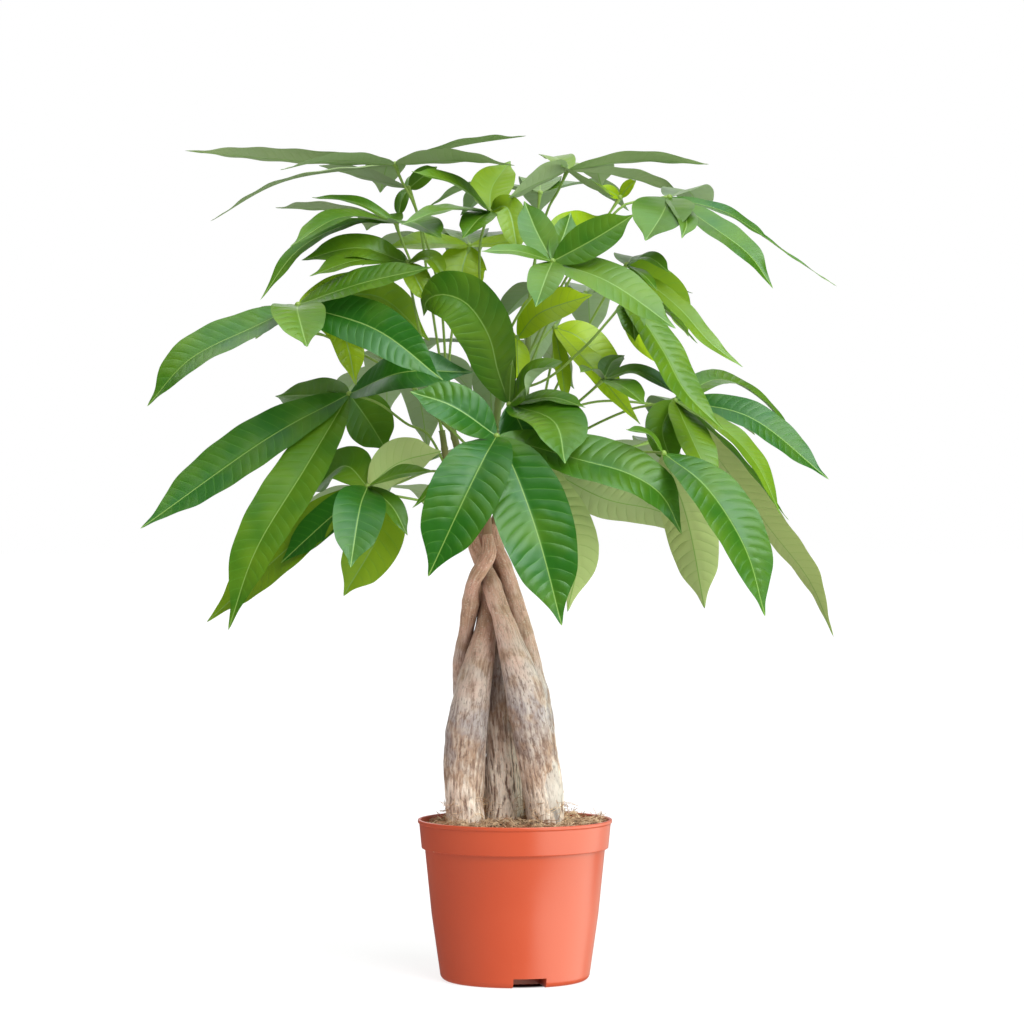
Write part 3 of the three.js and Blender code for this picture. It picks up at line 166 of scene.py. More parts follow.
# %% The compound leaves
LEAVES = {
    "leaf_top_left": (
        ("shoot_front_left", 0.8),
        [(-105, 10, 713), (-100, 8, 700), (-85, 5, 668), (-76, 20, 610), (-66, 38, 545)],
        ([(-195, 4, 717), (-289, -10, 725)], 36, (0, 0.25, 1)),
        ([(-200, 50, 699), (-267, 80, 663)], 24, (0, -0.2, 1)),
        ([(-160, -40, 717), (-206, -80, 708)], 32, (0, 0.2, 1)),
        ([(-50, 24, 729), (10, 34, 738)], 34, (0, 0.05, 1)),
        ([(-50, -32, 717), (0, -72, 712)], 38, (0, 0.3, 1)),
        ([(-112, 80, 712), (-118, 150, 688)], 38, (0, 0, 1)),
    ),
    "leaf_top_left_small": (
        ("shoot_front_left", 0.96),
        [(-93, 45, 692), (-86, 44, 672), (-66, 48, 600)],
        ([(-135, 72, 703), (-172, 100, 712)], 28, (0, 0.5, 1)),
        ([(-78, 85, 702), (-66, 120, 708)], 26, (0, 0.1, 1)),
        ([(-82, 38, 701), (-68, 32, 711)], 18, (0.3, -1, 0.5)),
        ([(-99, 40, 682), (-102, 36, 666)], 12, (0, -1, 0.3)),
    ),
    "leaf_upper_left": (
        ("shoot_back_left", 0.9),
        [(-104, -25, 662), (-102, -22, 654), (-93, 0, 632), (-78, 10, 598), (-40, -6, 560)],
        ([(-160, 8, 673), (-210, 40, 675)], 28, (0, 0.3, 1)),
        ([(-140, -18, 680), (-178, -20, 684)], 22, (0, -0.4, 1)),
        ([(-152, -60, 667), (-197, -92, 641)], 32, (0, -0.4, 1)),
        ([(-145, -36, 661), (-190, -50, 638), (-223, -58, 594)], 17, (0.4, -0.4, 1)),
        ([(-88, -68, 662), (-64, -108, 648)], 38, (0.1, -0.5, 1)),
        ([(-119, 24, 668), (-130, 74, 655)], 34, (0, 0, 1)),
    ),
    "leaf_left_radiating": (
        ("shoot_front_right", 0.97),
        [(-94, -44, 627), (-92, -44, 610), (-82, -34, 560)],
        ([(-138, -44, 640), (-187, -46, 629)], 32, (0, -0.9, 0.9), 0.2),
        ([(-138, -58, 629), (-180, -70, 615)], 30, (0, -0.6, 1), 0.2),
        ([(-75, -51, 631), (-61, -55, 613)], 24, (0.2, -0.6, 1), 0.35),
        ([(-86, -52, 612), (-76, -56, 592)], 24, (0.2, -0.9, 0.5), 0.45),
        ([(-108, -28, 636), (-124, -8, 642)], 16, (0, -0.2, 1)),
    ),
    "leaf_left": (
        ("shoot_back_left", 0.35),
        [(-190, -60, 590), (-170, -55, 577), (-148, -48, 561), (-113, -38, 541), (-50, -20, 475)],
        ([(-226, -76, 572), (-284, -96, 543), (-322, -104, 501)], 50, (-0.3, -0.8, 1), 0.1),
        ([(-210, -20, 582), (-227, 24, 560)], 34, (0, 0, 1)),
        ([(-190, -100, 583), (-182, -142, 553)], 46, (0, -0.5, 1)),
        ([(-121, -98, 568), (-63, -112, 524)], 44, (0.0, -1, 0.35), 0.0),
        ([(-134, -84, 609), (-72, -104, 623)], 36, (0, -0.8, 0.9), 0.12),
        ([(-122, -14, 598), (-74, 10, 558)], 44, (0.3, -1, 0.7), 0.45),
        ([(-152, -44, 566), (-139, -50, 519)], 30, (0.3, -0.9, 0.4), 0.8),
    ),
    "leaf_lower_left": (
        ("shoot_front_right", 0.55),
        [(-145, -20, 512), (-120, -17, 504), (-95, -13, 486), (-75, -8, 475)],
        ([(-178, 8, 511), (-210, 34, 510)], 38, (0, -0.9, 0.8)),
        ([(-220, -42, 471), (-328, -72, 394)], 50, (-0.3, -0.9, 0.5), 0.05),
        ([(-185, -60, 445), (-227, -84, 375), (-251, -90, 305)], 50, (-0.4, -0.9, 0.2)),
        ([(-98, -66, 531), (-36, -62, 531)], 44, (0, -0.9, 0.6), 0.0),
        ([(-128, 0, 488), (-112, 10, 462)], 44, (0, -1, 0.3)),
        ([(-160, 42, 508), (-182, 100, 470)], 40, (-0.1, 0.3, 1)),
    ),
    "leaf_low_left": (
        ("shoot_front_right", 0.25),
        [(-129, -60, 431), (-110, -52, 424), (-85, -36, 419)],
        ([(-136, -98, 411), (-144, -130, 360)], 44, (0.1, -1, 0.3), 0.0),
        ([(-118, -66, 395), (-150, -62, 335)], 46, (0, -1, 0.1), 0.5),
        ([(-193, -34, 382), (-270, -22, 312)], 46, (-0.4, -1, 0.6), 0.4),
        ([(-166, -48, 400), (-205, -46, 364)], 32, (-0.3, -1, 0.5), 0.0),
        ([(-150, -36, 449), (-180, -12, 424)], 42, (-0.3, -0.8, 0.8)),
        ([(-104, -76, 441), (-72, -84, 445)], 26, (0, -0.6, 1)),
        ([(-102, -34, 452), (-64, -24, 462)], 42, (0, 0.9, 0.5), 0.8),
        ([(-108, -84, 414), (-94, -100, 388)], 20, (0.3, -0.9, 0.5)),
    ),
    "leaf_front": (
        ("shoot_back_left", 0.3),
        [(-16, -118, 475), (-16, -100, 472), (-17, -60, 455)],
        ([(-27, -147, 456), (-47, -168, 415), (-76, -178, 352)], 62, (-0.25, -1, 0.3), 0.02),
        ([(1, -143, 442), (22, -167, 382), (41, -178, 309)], 64, (0.1, -1, 0.25), 0.03),
        ([(55, -126, 455), (98, -137, 443), (129, -137, 423), (146, -130, 389)], 54, (0.0, -0.8, 0.8),
          0.1),
        ([(-54, -124, 501), (-92, -122, 514)], 42, (0.1, -1, 0.6), 0.05),
        ([(-52, -112, 446), (-90, -106, 412)], 18, (-0.2, -0.8, 0.7)),
        ([(26, -112, 425), (54, -106, 375), (46, -100, 321)], 44, (0.2, 1, 0.2), 0.9),
        ([(70, -82, 424), (125, -62, 410), (186, -54, 384)], 46, (0, 0.9, 0.6), 0.7),
    ),
    "leaf_centre": (
        ("shoot_back_left", 0.55),
        [(-5, -78, 503), (-5, -66, 498), (-6, -40, 485)],
        ([(-15, -84, 532), (-23, -86, 563), (-41, -84, 590), (-62, -76, 599), (-77, -62, 594),
          (-80, -44, 580)], 50, (-0.45, -1, 0.25), 0.12),
        ([(22, -108, 530), (36, -138, 536)], 40, (0.2, -0.9, 0.8)),
        ([(-4, -90, 524), (-2, -98, 542)], 10, (-0.5, -1, 0)),
        ([(32, -92, 509), (62, -112, 500)], 22, (0, -0.6, 1)),
        ([(34, -120, 488), (44, -156, 451)], 54, (0.2, -0.8, 0.8), 0.12),
        ([(6, -82, 482), (16, -84, 452)], 42, (0, -1, 0.4), 0.0),
    ),
    "leaf_bright": (
        ("shoot_back_left", 0.99),
        [(2, -46, 561), (0, -38, 558), (-4, -28, 552)],
        ([(22, -60, 583), (68, -66, 599)], 36, (-0.3, -1, 0.6)),
        ([(-24, -56, 572), (-44, -62, 584)], 24, (0.3, -0.8, 0.8)),
        ([(2, -62, 546), (4, -78, 520)], 22, (0.4, -1, 0.3)),
    ),
    # Its leaflets' fresh tones partly paint in the light that comes through them.
    "leaf_backlit": (
        ("shoot_back_right", 0.82),
        [(35, -20, 570), (34, -12, 552), (28, 4, 520)],
        ([(58, -26, 560), (93, -36, 522)], 36, (0.5, -1, 0.4), 1.0),
        ([(41, -38, 535), (45, -44, 500)], 16, (0.6, -1, 0.2)),
        ([(66, -56, 537), (110, -60, 485)], 28, (0.5, -0.9, 0.7), 1.0),
        ([(52, 20, 566), (66, 60, 552)], 30, (0, 0.1, 1)),
    ),
    "leaf_mid_right": (
        ("shoot_back_right", 0.75),
        [(78, -75, 525), (66, -68, 514), (52, -58, 502), (30, -20, 484)],
        ([(66, -92, 534), (57, -108, 531)], 16, (0, -0.5, 1)),
        ([(94, -100, 519), (114, -122, 503)], 28, (0.2, -0.6, 1)),
        ([(108, -84, 532), (143, -92, 511)], 22, (0.2, -0.6, 1)),
        ([(85, -58, 540), (96, -44, 546)], 20, (0, -0.5, 1)),
    ),
    "leaf_top_middle": (
        ("shoot_back_left", 0.94),
        [(-22, -20, 672), (-28, -18, 655), (-31, -16, 635), (-28, -15, 585)],
        ([(-52, -36, 696), (-91, -50, 707)], 30, (0, -0.5, 0.9)),
        ([(-62, -84, 673), (-100, -124, 660)], 26, (0, -0.4, 1)),
        ([(-20, 14, 693), (-4, 44, 716)], 38, (0, -0.7, 0.7), 0.45),
        ([(-33, -58, 664), (-46, -84, 648)], 28, (0, -0.6, 1)),
        ([(-6, -36, 674), (3, -50, 634)], 26, (0.2, -1, 0.2), 0.4),
    ),
    "leaf_top_right": (
        ("shoot_middle", 0.96),
        [(46, 20, 708), (38, 22, 690), (27, 28, 668), (14, 48, 610)],
        ([(36, 50, 719), (27, 82, 718)], 30, (0, -0.1, 1)),
        ([(105, 14, 717), (170, 8, 713)], 30, (0, 0.25, 1), 0.4),
        ([(100, 62, 702), (150, 92, 686)], 34, (0, 0.1, 1)),
        ([(20, -14, 697), (-6, -46, 684)], 44, (0, 0.9, 1)),
        ([(64, -26, 694), (86, -62, 685)], 44, (0, 0.8, 1)),
        ([(68, 76, 712), (76, 132, 694)], 36, (0, 0, 1)),
    ),
    "leaf_upper_front": (
        ("shoot_back_left", 0.8),
        [(33, -100, 628), (20, -94, 604), (4, -82, 583), (-7, -64, 560)],
        ([(19, -84, 654), (8, -70, 681)], 30, (0, -1, 0.5)),
        ([(3, -116, 637), (-30, -126, 637)], 16, (0, -0.8, 0.8)),
        ([(70, -108, 648), (104, -112, 669)], 34, (0, -1, 0.4), 0.1),
        ([(50, -62, 656), (76, -30, 668)], 36, (0, -0.9, 0.5), 0.6),
        ([(43, -80, 652), (49, -66, 671)], 22, (0.2, -1, 0.4)),
        ([(27, -130, 614), (18, -154, 588)], 30, (0, -0.8, 0.8)),
        ([(84, -118, 609), (141, -128, 569)], 40, (0.2, -0.9, 0.7), 0.2),
    ),
    "leaf_upper_right": (
        ("shoot_middle", 0.88),
        [(135, 0, 684), (112, -2, 681), (88, -6, 671), (44, 14, 612)],
        ([(128, -42, 668), (114, -66, 646)], 54, (0, -0.6, 1)),
        ([(180, 2, 673), (208, 4, 657), (227, 4, 643)], 20, (0.3, -0.6, 1), 0.05),
        ([(190, 8, 668), (240, 4, 634), (282, -8, 606)], 5, (0.3, -0.5, 1), 0.1),
        ([(172, -36, 659), (205, -56, 634), (226, -62, 604)], 32, (0.5, -1, 0.8)),
        ([(150, -52, 664), (146, -78, 648)], 22, (0.3, -0.6, 1)),
        ([(152, 54, 690), (165, 112, 668)], 40, (0, 0, 1)),
    ),
    "leaf_young": (
        ("shoot_middle", 0.8),
        [(92, 16, 684), (84, 16, 672), (66, 18, 644), (34, 36, 585)],
        ([(99, 10, 693), (106, 4, 699)], 13, (-0.3, -1, 0.4)),
        ([(82, 8, 690), (73, 2, 690)], 12, (0, -1, 0.5)),
    ),
    "leaf_right_slender": (
        ("shoot_back_right", 0.88),
        [(98, -20, 625), (84, -14, 606), (50, 4, 545)],
        ([(116, -34, 632), (136, -46, 618)], 20, (0, -0.5, 1)),
        ([(113, -48, 616), (125, -64, 602)], 14, (0.5, -0.8, 0.5)),
        ([(132, 2, 604), (152, 14, 562)], 40, (0.3, -0.7, 0.7), 0.45),
        ([(143, -44, 588), (170, -60, 558), (200, -66, 535)], 20, (0.4, -1, 0.6), 0.35),
        ([(104, 20, 632), (112, 66, 612)], 34, (0, 0, 1)),
    ),
    "leaf_right_glossy": (
        ("shoot_back_left", 0.72),
        [(95, -60, 592), (80, -70, 574), (60, -72, 552), (26, -56, 524)],
        ([(109, -84, 581), (130, -98, 549), (150, -108, 513), (183, -116, 480)], 38, (0.5, -0.8, 0.6),
          0.2),
        ([(108, -52, 566), (134, -44, 536)], 38, (0.2, -0.7, 0.7), 0.9),
        ([(126, -34, 588), (160, -18, 556)], 30, (0.3, -0.4, 1)),
        ([(102, -84, 580), (105, -100, 558)], 24, (0, -0.8, 0.8)),
    ),
    "leaf_right": (
        ("shoot_back_right", 0.6),
        [(140, -20, 506), (118, -20, 502), (100, -18, 498), (72, -12, 486), (35, 2, 466)],
        ([(178, 12, 525), (215, 28, 508), (250, 36, 468)], 32, (0.4, -0.3, 1)),
        ([(207, -36, 491), (275, -52, 437)], 34, (0.3, -1, 0.8), 0.02),
        ([(182, -58, 482), (212, -74, 450), (233, -80, 405)], 28, (0.5, -0.6, 0.8), 0.3),
        ([(168, 12, 470), (222, 30, 396), (258, 38, 349), (279, 42, 299)], 44, (0.7, 0.5, 0.4), 1.0),
        ([(190, -14, 462), (240, -22, 401)], 18, (0.6, -0.3, 0.8)),
        ([(158, -78, 466), (178, -96, 424)], 38, (0.5, -0.9, 0.4), 0.25),
        ([(129, -42, 480), (140, -52, 446)], 34, (0.3, -1, 0.3)),
    ),
    "leaf_low_right": (
        ("shoot_back_right", 0.4),
        [(130, -118, 460), (114, -90, 461), (70, -60, 457), (30, -24, 444)],
        ([(168, -148, 430), (202, -166, 376), (219, -170, 317)], 52, (0.5, -0.9, 0.4), 0.1),
        ([(151, -94, 402), (166, -84, 324)], 46, (0.2, 0.9, 0.5), 0.9),
        ([(117, -128, 477), (97, -138, 481)], 16, (0, -0.6, 1)),
        ([(138, -98, 447), (144, -82, 430)], 22, (0.5, 0.2, 0.8)),
    ),
    "leaf_back_upper_left": (
        ("shoot_front_left", 0.9),
        [(-40, 106, 642), (-44, 98, 620), (-56, 74, 560)],
        ([(-44, 188, 652), (-46, 262, 614)], 44, (0, 0.2, 1)),
        ([(-92, 158, 650), (-134, 196, 624)], 40, (-0.2, 0.1, 1)),
        ([(6, 156, 652), (44, 196, 634)], 40, (0.1, 0.1, 1)),
        ([(-76, 88, 644), (-112, 78, 640)], 34, (0, -0.6, 0.9), 0.5),
        ([(-10, 90, 645), (12, 84, 650)], 26, (0, -0.6, 0.9), 0.5),
        ([(-46, 92, 616), (-32, 84, 594)], 44, (0.1, -1, 0.2), 0.75),
    ),
    "leaf_back_upper_right": (
        ("shoot_middle", 0.9),
        [(62, 128, 600), (52, 116, 592), (24, 80, 560)],
        ([(64, 206, 604), (66, 276, 556)], 44, (0, 0.3, 1)),
        ([(112, 172, 602), (150, 204, 572)], 40, (0.3, 0.1, 1)),
        ([(16, 178, 603), (-14, 222, 575)], 40, (-0.1, 0.2, 1)),
        ([(112, 112, 612), (156, 98, 600)], 34, (0.2, 0, 1)),
        ([(30, 150, 578), (14, 168, 530)], 36, (-0.3, 0.5, 0.8)),
    ),
    "leaf_back_left": (
        ("shoot_front_left", 0.7),
        [(-110, 118, 540), (-100, 106, 530), (-72, 66, 495)],
        ([(-112, 196, 542), (-112, 262, 492)], 44, (0, 0.3, 1)),
        ([(-142, 164, 522), (-160, 196, 488)], 36, (-0.3, 0.2, 1)),
        ([(-64, 168, 540), (-36, 208, 512)], 40, (0.1, 0.2, 1)),
        ([(-132, 104, 548), (-146, 96, 534)], 24, (-0.1, 0, 1)),
        ([(-86, 162, 515), (-76, 186, 462)], 36, (0.2, 0.6, 0.8)),
    ),
    "leaf_back_right": (
        ("shoot_back_right", 0.5),
        [(118, 108, 470), (104, 94, 466), (55, 45, 455)],
        ([(124, 184, 468), (128, 248, 415)], 44, (0, 0.3, 1)),
        ([(170, 150, 468), (206, 178, 436)], 38, (0.3, 0.1, 1)),
        ([(88, 150, 460), (84, 178, 418)], 38, (-0.1, 0.3, 1)),
        ([(158, 96, 484), (188, 92, 490)], 32, (0.1, 0, 1)),
        ([(138, 146, 445), (150, 166, 396)], 36, (0.3, 0.5, 0.8)),
    ),
    "leaf_back_low": (
        ("shoot_middle", 0.35),
        [(0, 138, 450), (-2, 124, 447), (-4, 76, 440)],
        ([(0, 212, 446), (0, 276, 394)], 44, (0, 0.3, 1)),
        ([(-46, 188, 444), (-80, 224, 404)], 40, (-0.2, 0.3, 1)),
        ([(46, 186, 444), (80, 218, 404)], 40, (0.2, 0.3, 1)),
        ([(-44, 140, 462), (-80, 134, 452)], 34, (-0.1, 0, 1)),
        ([(4, 166, 416), (6, 172, 366)], 36, (0, 1, 0.5)),
    ),
    "leaf_back_low_left": (
        ("shoot_front_right", 0.6),
        [(-112, 76, 432), (-102, 62, 434), (-76, 18, 444)],
        ([(-128, 146, 424), (-136, 196, 376)], 42, (-0.1, 0.3, 1)),
        ([(-160, 106, 424), (-194, 126, 384)], 38, (-0.3, 0.1, 1)),
        ([(-78, 124, 424), (-58, 158, 392)], 36, (0.2, 0.3, 1)),
        ([(-130, 96, 398), (-144, 108, 350)], 36, (-0.5, 0.4, 0.7)),
    ),
    "leaf_back_top": (
        ("shoot_middle", 0.75),
        [(22, 112, 688), (20, 108, 668), (16, 84, 600)],
        ([(22, 172, 698), (20, 232, 668)], 40, (0, 0.1, 1)),
        ([(-34, 126, 694), (-76, 140, 676)], 36, (-0.1, 0, 1)),
        ([(-20, 158, 692), (-48, 196, 668)], 36, (-0.1, 0.1, 1)),
        ([(66, 158, 696), (100, 190, 672)], 36, (0.1, 0.1, 1)),
    ),
    "leaf_back_middle": (
        ("shoot_middle", 0.6),
        [(-24, 168, 556), (-20, 150, 550), (-2, 88, 520)],
        ([(-24, 240, 556), (-24, 296, 512)], 42, (0, 0.3, 1)),
        ([(-72, 214, 556), (-104, 246, 526)], 36, (-0.2, 0.1, 1)),
        ([(24, 212, 552), (52, 246, 516)], 38, (0.2, 0.2, 1)),
        ([(-22, 206, 530), (-20, 220, 482)], 36, (0, 1, 0.6)),
    ),
    "leaf_back_far_left": (
        ("shoot_front_left", 0.8),
        [(-178, 72, 566), (-160, 70, 560), (-105, 62, 530)],
        ([(-212, 108, 575), (-238, 150, 566)], 36, (-0.2, 0.1, 1)),
        ([(-182, 130, 576), (-184, 184, 554)], 38, (0, 0.2, 1)),
        ([(-206, 62, 580), (-236, 58, 574)], 28, (-0.2, 0, 1)),
    ),
    "leaf_back_far_right": (
        ("shoot_middle", 0.5),
        [(160, 78, 494), (140, 74, 500), (70, 62, 505)],
        ([(186, 112, 500), (210, 148, 476)], 36, (0.2, 0.1, 1)),
        ([(164, 150, 504), (168, 210, 466)], 40, (0, 0.2, 1)),
        ([(178, 66, 484), (205, 70, 462)], 34, (0.4, -0.2, 0.9)),
        ([(136, 126, 508), (118, 176, 490)], 36, (-0.1, 0.1, 1)),
    ),
}
print(len(LEAVES), "leaves and", sum(len(leaf) - 2 for leaf in LEAVES.values()), "leaflets")

# %% [markdown]
# Both shaders and geometry trees are graphs of nodes. A formula is easier to read as a formula,
# so an output of a node is wrapped in a small class, and arithmetic on it adds the Math nodes.

# %% Nodes as formulas
def enabled_socket(sockets, key):
    shown_sockets = [socket for socket in sockets if socket.enabled]
    if key is None or isinstance(key, int):
        return shown_sockets[key or 0]
    return next(socket for socket in shown_sockets if socket.name == key)


class Wire:
    """An output of a node. Arithmetic on it adds Math nodes to its tree."""

    def __init__(self, maker, socket):
        self.maker = maker
        self.socket = socket

    def out(self, name):
        return Wire(self.maker, enabled_socket(self.socket.node.outputs, name))

    def math(self, operation, *others):
        return self.maker.math(operation, self, *others)

    __add__ = __radd__ = partialmethod(math, "ADD")
    __sub__ = partialmethod(math, "SUBTRACT")
    __mul__ = __rmul__ = partialmethod(math, "MULTIPLY")
    __truediv__ = partialmethod(math, "DIVIDE")
    __pow__ = partialmethod(math, "POWER")
    __gt__ = partialmethod(math, "GREATER_THAN")
    size = partialmethod(math, "ABSOLUTE")
    sine = partialmethod(math, "SINE")

    def __rsub__(self, other):
        return self.maker.math("SUBTRACT", other, self)

    def rise(self, low, high):
        """0 below low, 1 above high, and a smooth step between."""
        sockets = {0: self, 1: low, 2: high}
        return self.maker.add("MapRange", sockets, interpolation_type="SMOOTHSTEP")

    def bump(self, width):
        """1 where the wire is 0, and a smooth fall to both sides."""
        return ((self / width) ** 2 * -1).math("EXPONENT")

    def vector(self, operation, *others):
        return self.maker.add("VectorMath", dict(enumerate([self, *others])), operation=operation)

    def split(self):
        parts = self.maker.add("SeparateXYZ", {0: self})
        return parts, parts.out("Y"), parts.out("Z")

# %% [markdown]
# Every other node comes from one method, `add`. It takes the node's type without its prefix, the
# values or links of its sockets, the output that is wanted, the stops of a colour ramp, and the
# node's other settings. The settings are made first, because they decide which sockets there are.

# %% A maker of nodes
PREFIXES = ("ShaderNode", "GeometryNode", "FunctionNode", "")


class Maker:
    """Adds nodes to one tree."""

    def __init__(self, tree):
        self.tree = tree

    def add(self, kind, sockets=None, out=None, stops=(), **settings):
        kind = next(prefix + kind for prefix in PREFIXES if hasattr(bpy.types, prefix + kind))
        node = self.tree.nodes.new(kind)
        for name, value in settings.items():
            setattr(node, name, value)
        while stops and len(node.color_ramp.elements) < len(stops):
            node.color_ramp.elements.new(1.0)
        for number, (place, colour) in enumerate(stops):
            node.color_ramp.elements[number].position = place
            node.color_ramp.elements[number].color = (*colour, 1)
        for key, value in (sockets or {}).items():
            socket = enabled_socket(node.inputs, key)
            for source in value if isinstance(value, list) else [value]:
                if isinstance(source, Wire):
                    self.tree.links.new(source.socket, socket)
                else:
                    socket.default_value = source
        return Wire(self, enabled_socket(node.outputs, out)) if node.outputs else None

    def math(self, operation, *values):
        return self.add("Math", dict(enumerate(values)), operation=operation)

    def join(self, x, y, z):
        return self.add("CombineXYZ", {"X": x, "Y": y, "Z": z})

    def mix(self, share, first, second):
        a, b = ((*value, 1) if isinstance(value, tuple) else value for value in (first, second))
        return self.add("Mix", {"Factor": share, "A": a, "B": b}, data_type="RGBA")

    def noise(self, place, scale, detail=2.0):
        return self.add("TexNoise", {"Vector": place, "Scale": scale, "Detail": detail})

# %% [markdown]
# A geometry tree needs a little more: named inputs for its sizes, attributes that it reads and
# stores, and a few steps that every tree here takes.

# %% Geometry trees
class Grower(Maker):
    """A geometry tree with named inputs. A whole number is an Integer input."""

    def __init__(self, name, sizes):
        super().__init__(bpy.data.node_groups.new(name, "GeometryNodeTree"))
        face = self.tree.interface
        face.new_socket("Geometry", in_out="INPUT", socket_type="NodeSocketGeometry")
        face.new_socket("Geometry", in_out="OUTPUT", socket_type="NodeSocketGeometry")
        for label, value in sizes.items():
            kind = "NodeSocketInt" if isinstance(value, int) else "NodeSocketFloat"
            face.new_socket(label, in_out="INPUT", socket_type=kind).default_value = value
        self.given = self.add("NodeGroupInput")

    def read(self, name, kind="FLOAT"):
        return self.add("InputNamedAttribute", {"Name": name}, data_type=kind)

    def store(self, geometry, name, value, kind="FLOAT", domain="POINT"):
        sockets = {"Geometry": geometry, "Name": name, "Value": value}
        return self.add("StoreNamedAttribute", sockets, data_type=kind, domain=domain)

    def moved(self, geometry, sockets):
        return self.add("SetPosition", {"Geometry": geometry, **sockets})

    def painted(self, geometry, material, where=True):
        sockets = {"Geometry": geometry, "Material": material, "Selection": where}
        return self.add("SetMaterial", sockets)

    def smoothed(self, geometry):
        return self.add("SetShadeSmooth", {"Geometry": geometry})

    def realized(self, geometry):
        return self.add("RealizeInstances", {"Geometry": geometry})

    def ring(self, sides):
        return self.add("CurvePrimitiveCircle", {"Resolution": sides, "Radius": 1.0})

    def swept(self, lines, ring, radius):
        sockets = {"Curve": lines, "Profile Curve": ring, "Scale": radius, "Fill Caps": True}
        return self.add("CurveToMesh", sockets)

    def finish(self, geometry):
        self.add("NodeGroupOutput", {0: geometry})
        print("The tree", self.tree.name, "has", len(self.tree.nodes), "nodes")
        return self.tree

# %% [markdown]
# A tree starts from bare lines, which carry values along with them, such as a radius. `grown`
# runs a tree on them, keeps the result as a plain mesh, and removes the helper with its modifier.
# `settle` then ties the finished piece to the frame.

# %% From bare lines to pieces
def bare_lines(name, lines):
    """A mesh of lines with no faces. Each line is its points and the values that they carry."""
    mesh = bpy.data.meshes.new(name)
    edges = []
    start = 0
    for points, _ in lines:
        edges += [(start + i, start + i + 1) for i in range(len(points) - 1)]
        start += len(points)
    mesh.from_pydata(np.vstack([points for points, _ in lines]).tolist(), edges, [])
    for key in lines[0][1]:
        kind, field, shape = ("FLOAT_VECTOR", "vector", (3,)) if key == "face" else ("FLOAT", "value", ())
        values = [np.broadcast_to(carried[key], (len(points), *shape)) for points, carried in lines]
        attribute = mesh.attributes.new(key, kind, "POINT")
        attribute.data.foreach_set(field, np.concatenate(values).astype(np.float32).ravel())
    return mesh


def evaluated(piece):
    graph = bpy.context.evaluated_depsgraph_get()
    return bpy.data.meshes.new_from_object(piece.evaluated_get(graph))


def grown(name, mesh, tree, sizes=None):
    helper = shown(name + "_helper", mesh)
    modifier = helper.modifiers.new("grow", "NODES")
    modifier.node_group = tree
    for item in tree.interface.items_tree:
        if item.in_out == "INPUT" and item.name in (sizes or {}):
            modifier[item.identifier] = sizes[item.name]
    result = evaluated(helper)
    helper.modifiers.clear()
    bpy.data.objects.remove(helper)
    return shown(name, result)


def settle(piece, nodes):
    """The finished piece rides with the plant, and stands for its solids."""
    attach(piece, "root")
    if nodes:
        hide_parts(*nodes)
    print(piece.name, sum(len(face.vertices) - 2 for face in piece.data.polygons), "triangles")

# %% [markdown]
# A material starts from an empty tree with a Principled shader. Patterns read object coordinates,
# which are the same as real places here, because every finished piece sits at the origin.

# %% Shader trees
class Finish(Maker):
    """A material's tree."""

    def __init__(self, name):
        self.material = bpy.data.materials.new(name)
        self.material.use_nodes = True
        super().__init__(self.material.node_tree)
        self.tree.nodes.clear()
        self.place = self.add("TexCoord", None, "Object")

    def read(self, name):
        return self.add("Attribute", None, "Fac", attribute_name=name)

    def dented(self, height, distance, strength=1.0):
        return self.add("Bump", {"Strength": strength, "Distance": distance, "Height": height})

    def surface(self, sockets):
        return self.add("BsdfPrincipled", sockets)

    def done(self, shader):
        self.add("OutputMaterial", {"Surface": shader})
        print("The finish", self.material.name, "has", len(self.tree.nodes), "nodes")
        return self.material

    def plain(self, colour, roughness, bumps=None):
        """The whole material, where a colour, a roughness and a relief say it all."""
        relief = {"Normal": bumps} if bumps else {}
        return self.done(self.surface({"Base Color": colour, "Roughness": roughness, **relief}))

# %% [markdown]
# A leaflet of this tree is a thin, glossy blade. It is dark green above and pale below, with a
# light midrib and side veins that run forward to the edge. The blade puffs up a little between
# the side veins, which gives the crinkled light that shows on the front leaflets. Light also
# comes through it, so a Translucent shader is mixed in: without it, a leaf with the light behind
# it would be black. Attributes carry the pattern: `vein` counts side veins along the blade,
# `side` runs from 0 at the midrib to 1 at the edge, and `offset` is the same in metres.

# %% Leaf finishes
BLADE_DARK = (0.018, 0.115, 0.005)
# The fresh green is partly painted light: it is brighter for the light that comes through backlit leaves.
BLADE_FRESH_AND_BACKLIT = (0.47, 0.65, 0.012)
BLADE_VEIN = (0.12, 0.32, 0.035)
MIDRIB_GREEN = (0.24, 0.40, 0.08)
UNDER_DARK = (0.30, 0.39, 0.215)
UNDER_FRESH = (0.45, 0.53, 0.17)
THROUGH_GREEN = (0.21, 0.47, 0.02, 1)
THROUGH_SHARE = 0.24
MIDRIB_HALF = 0.0003
PUFF_HEIGHT = 0.0009
WIDE_HALF = 0.018
SHEEN_TINT = (0.75, 1.0, 0.85, 1)


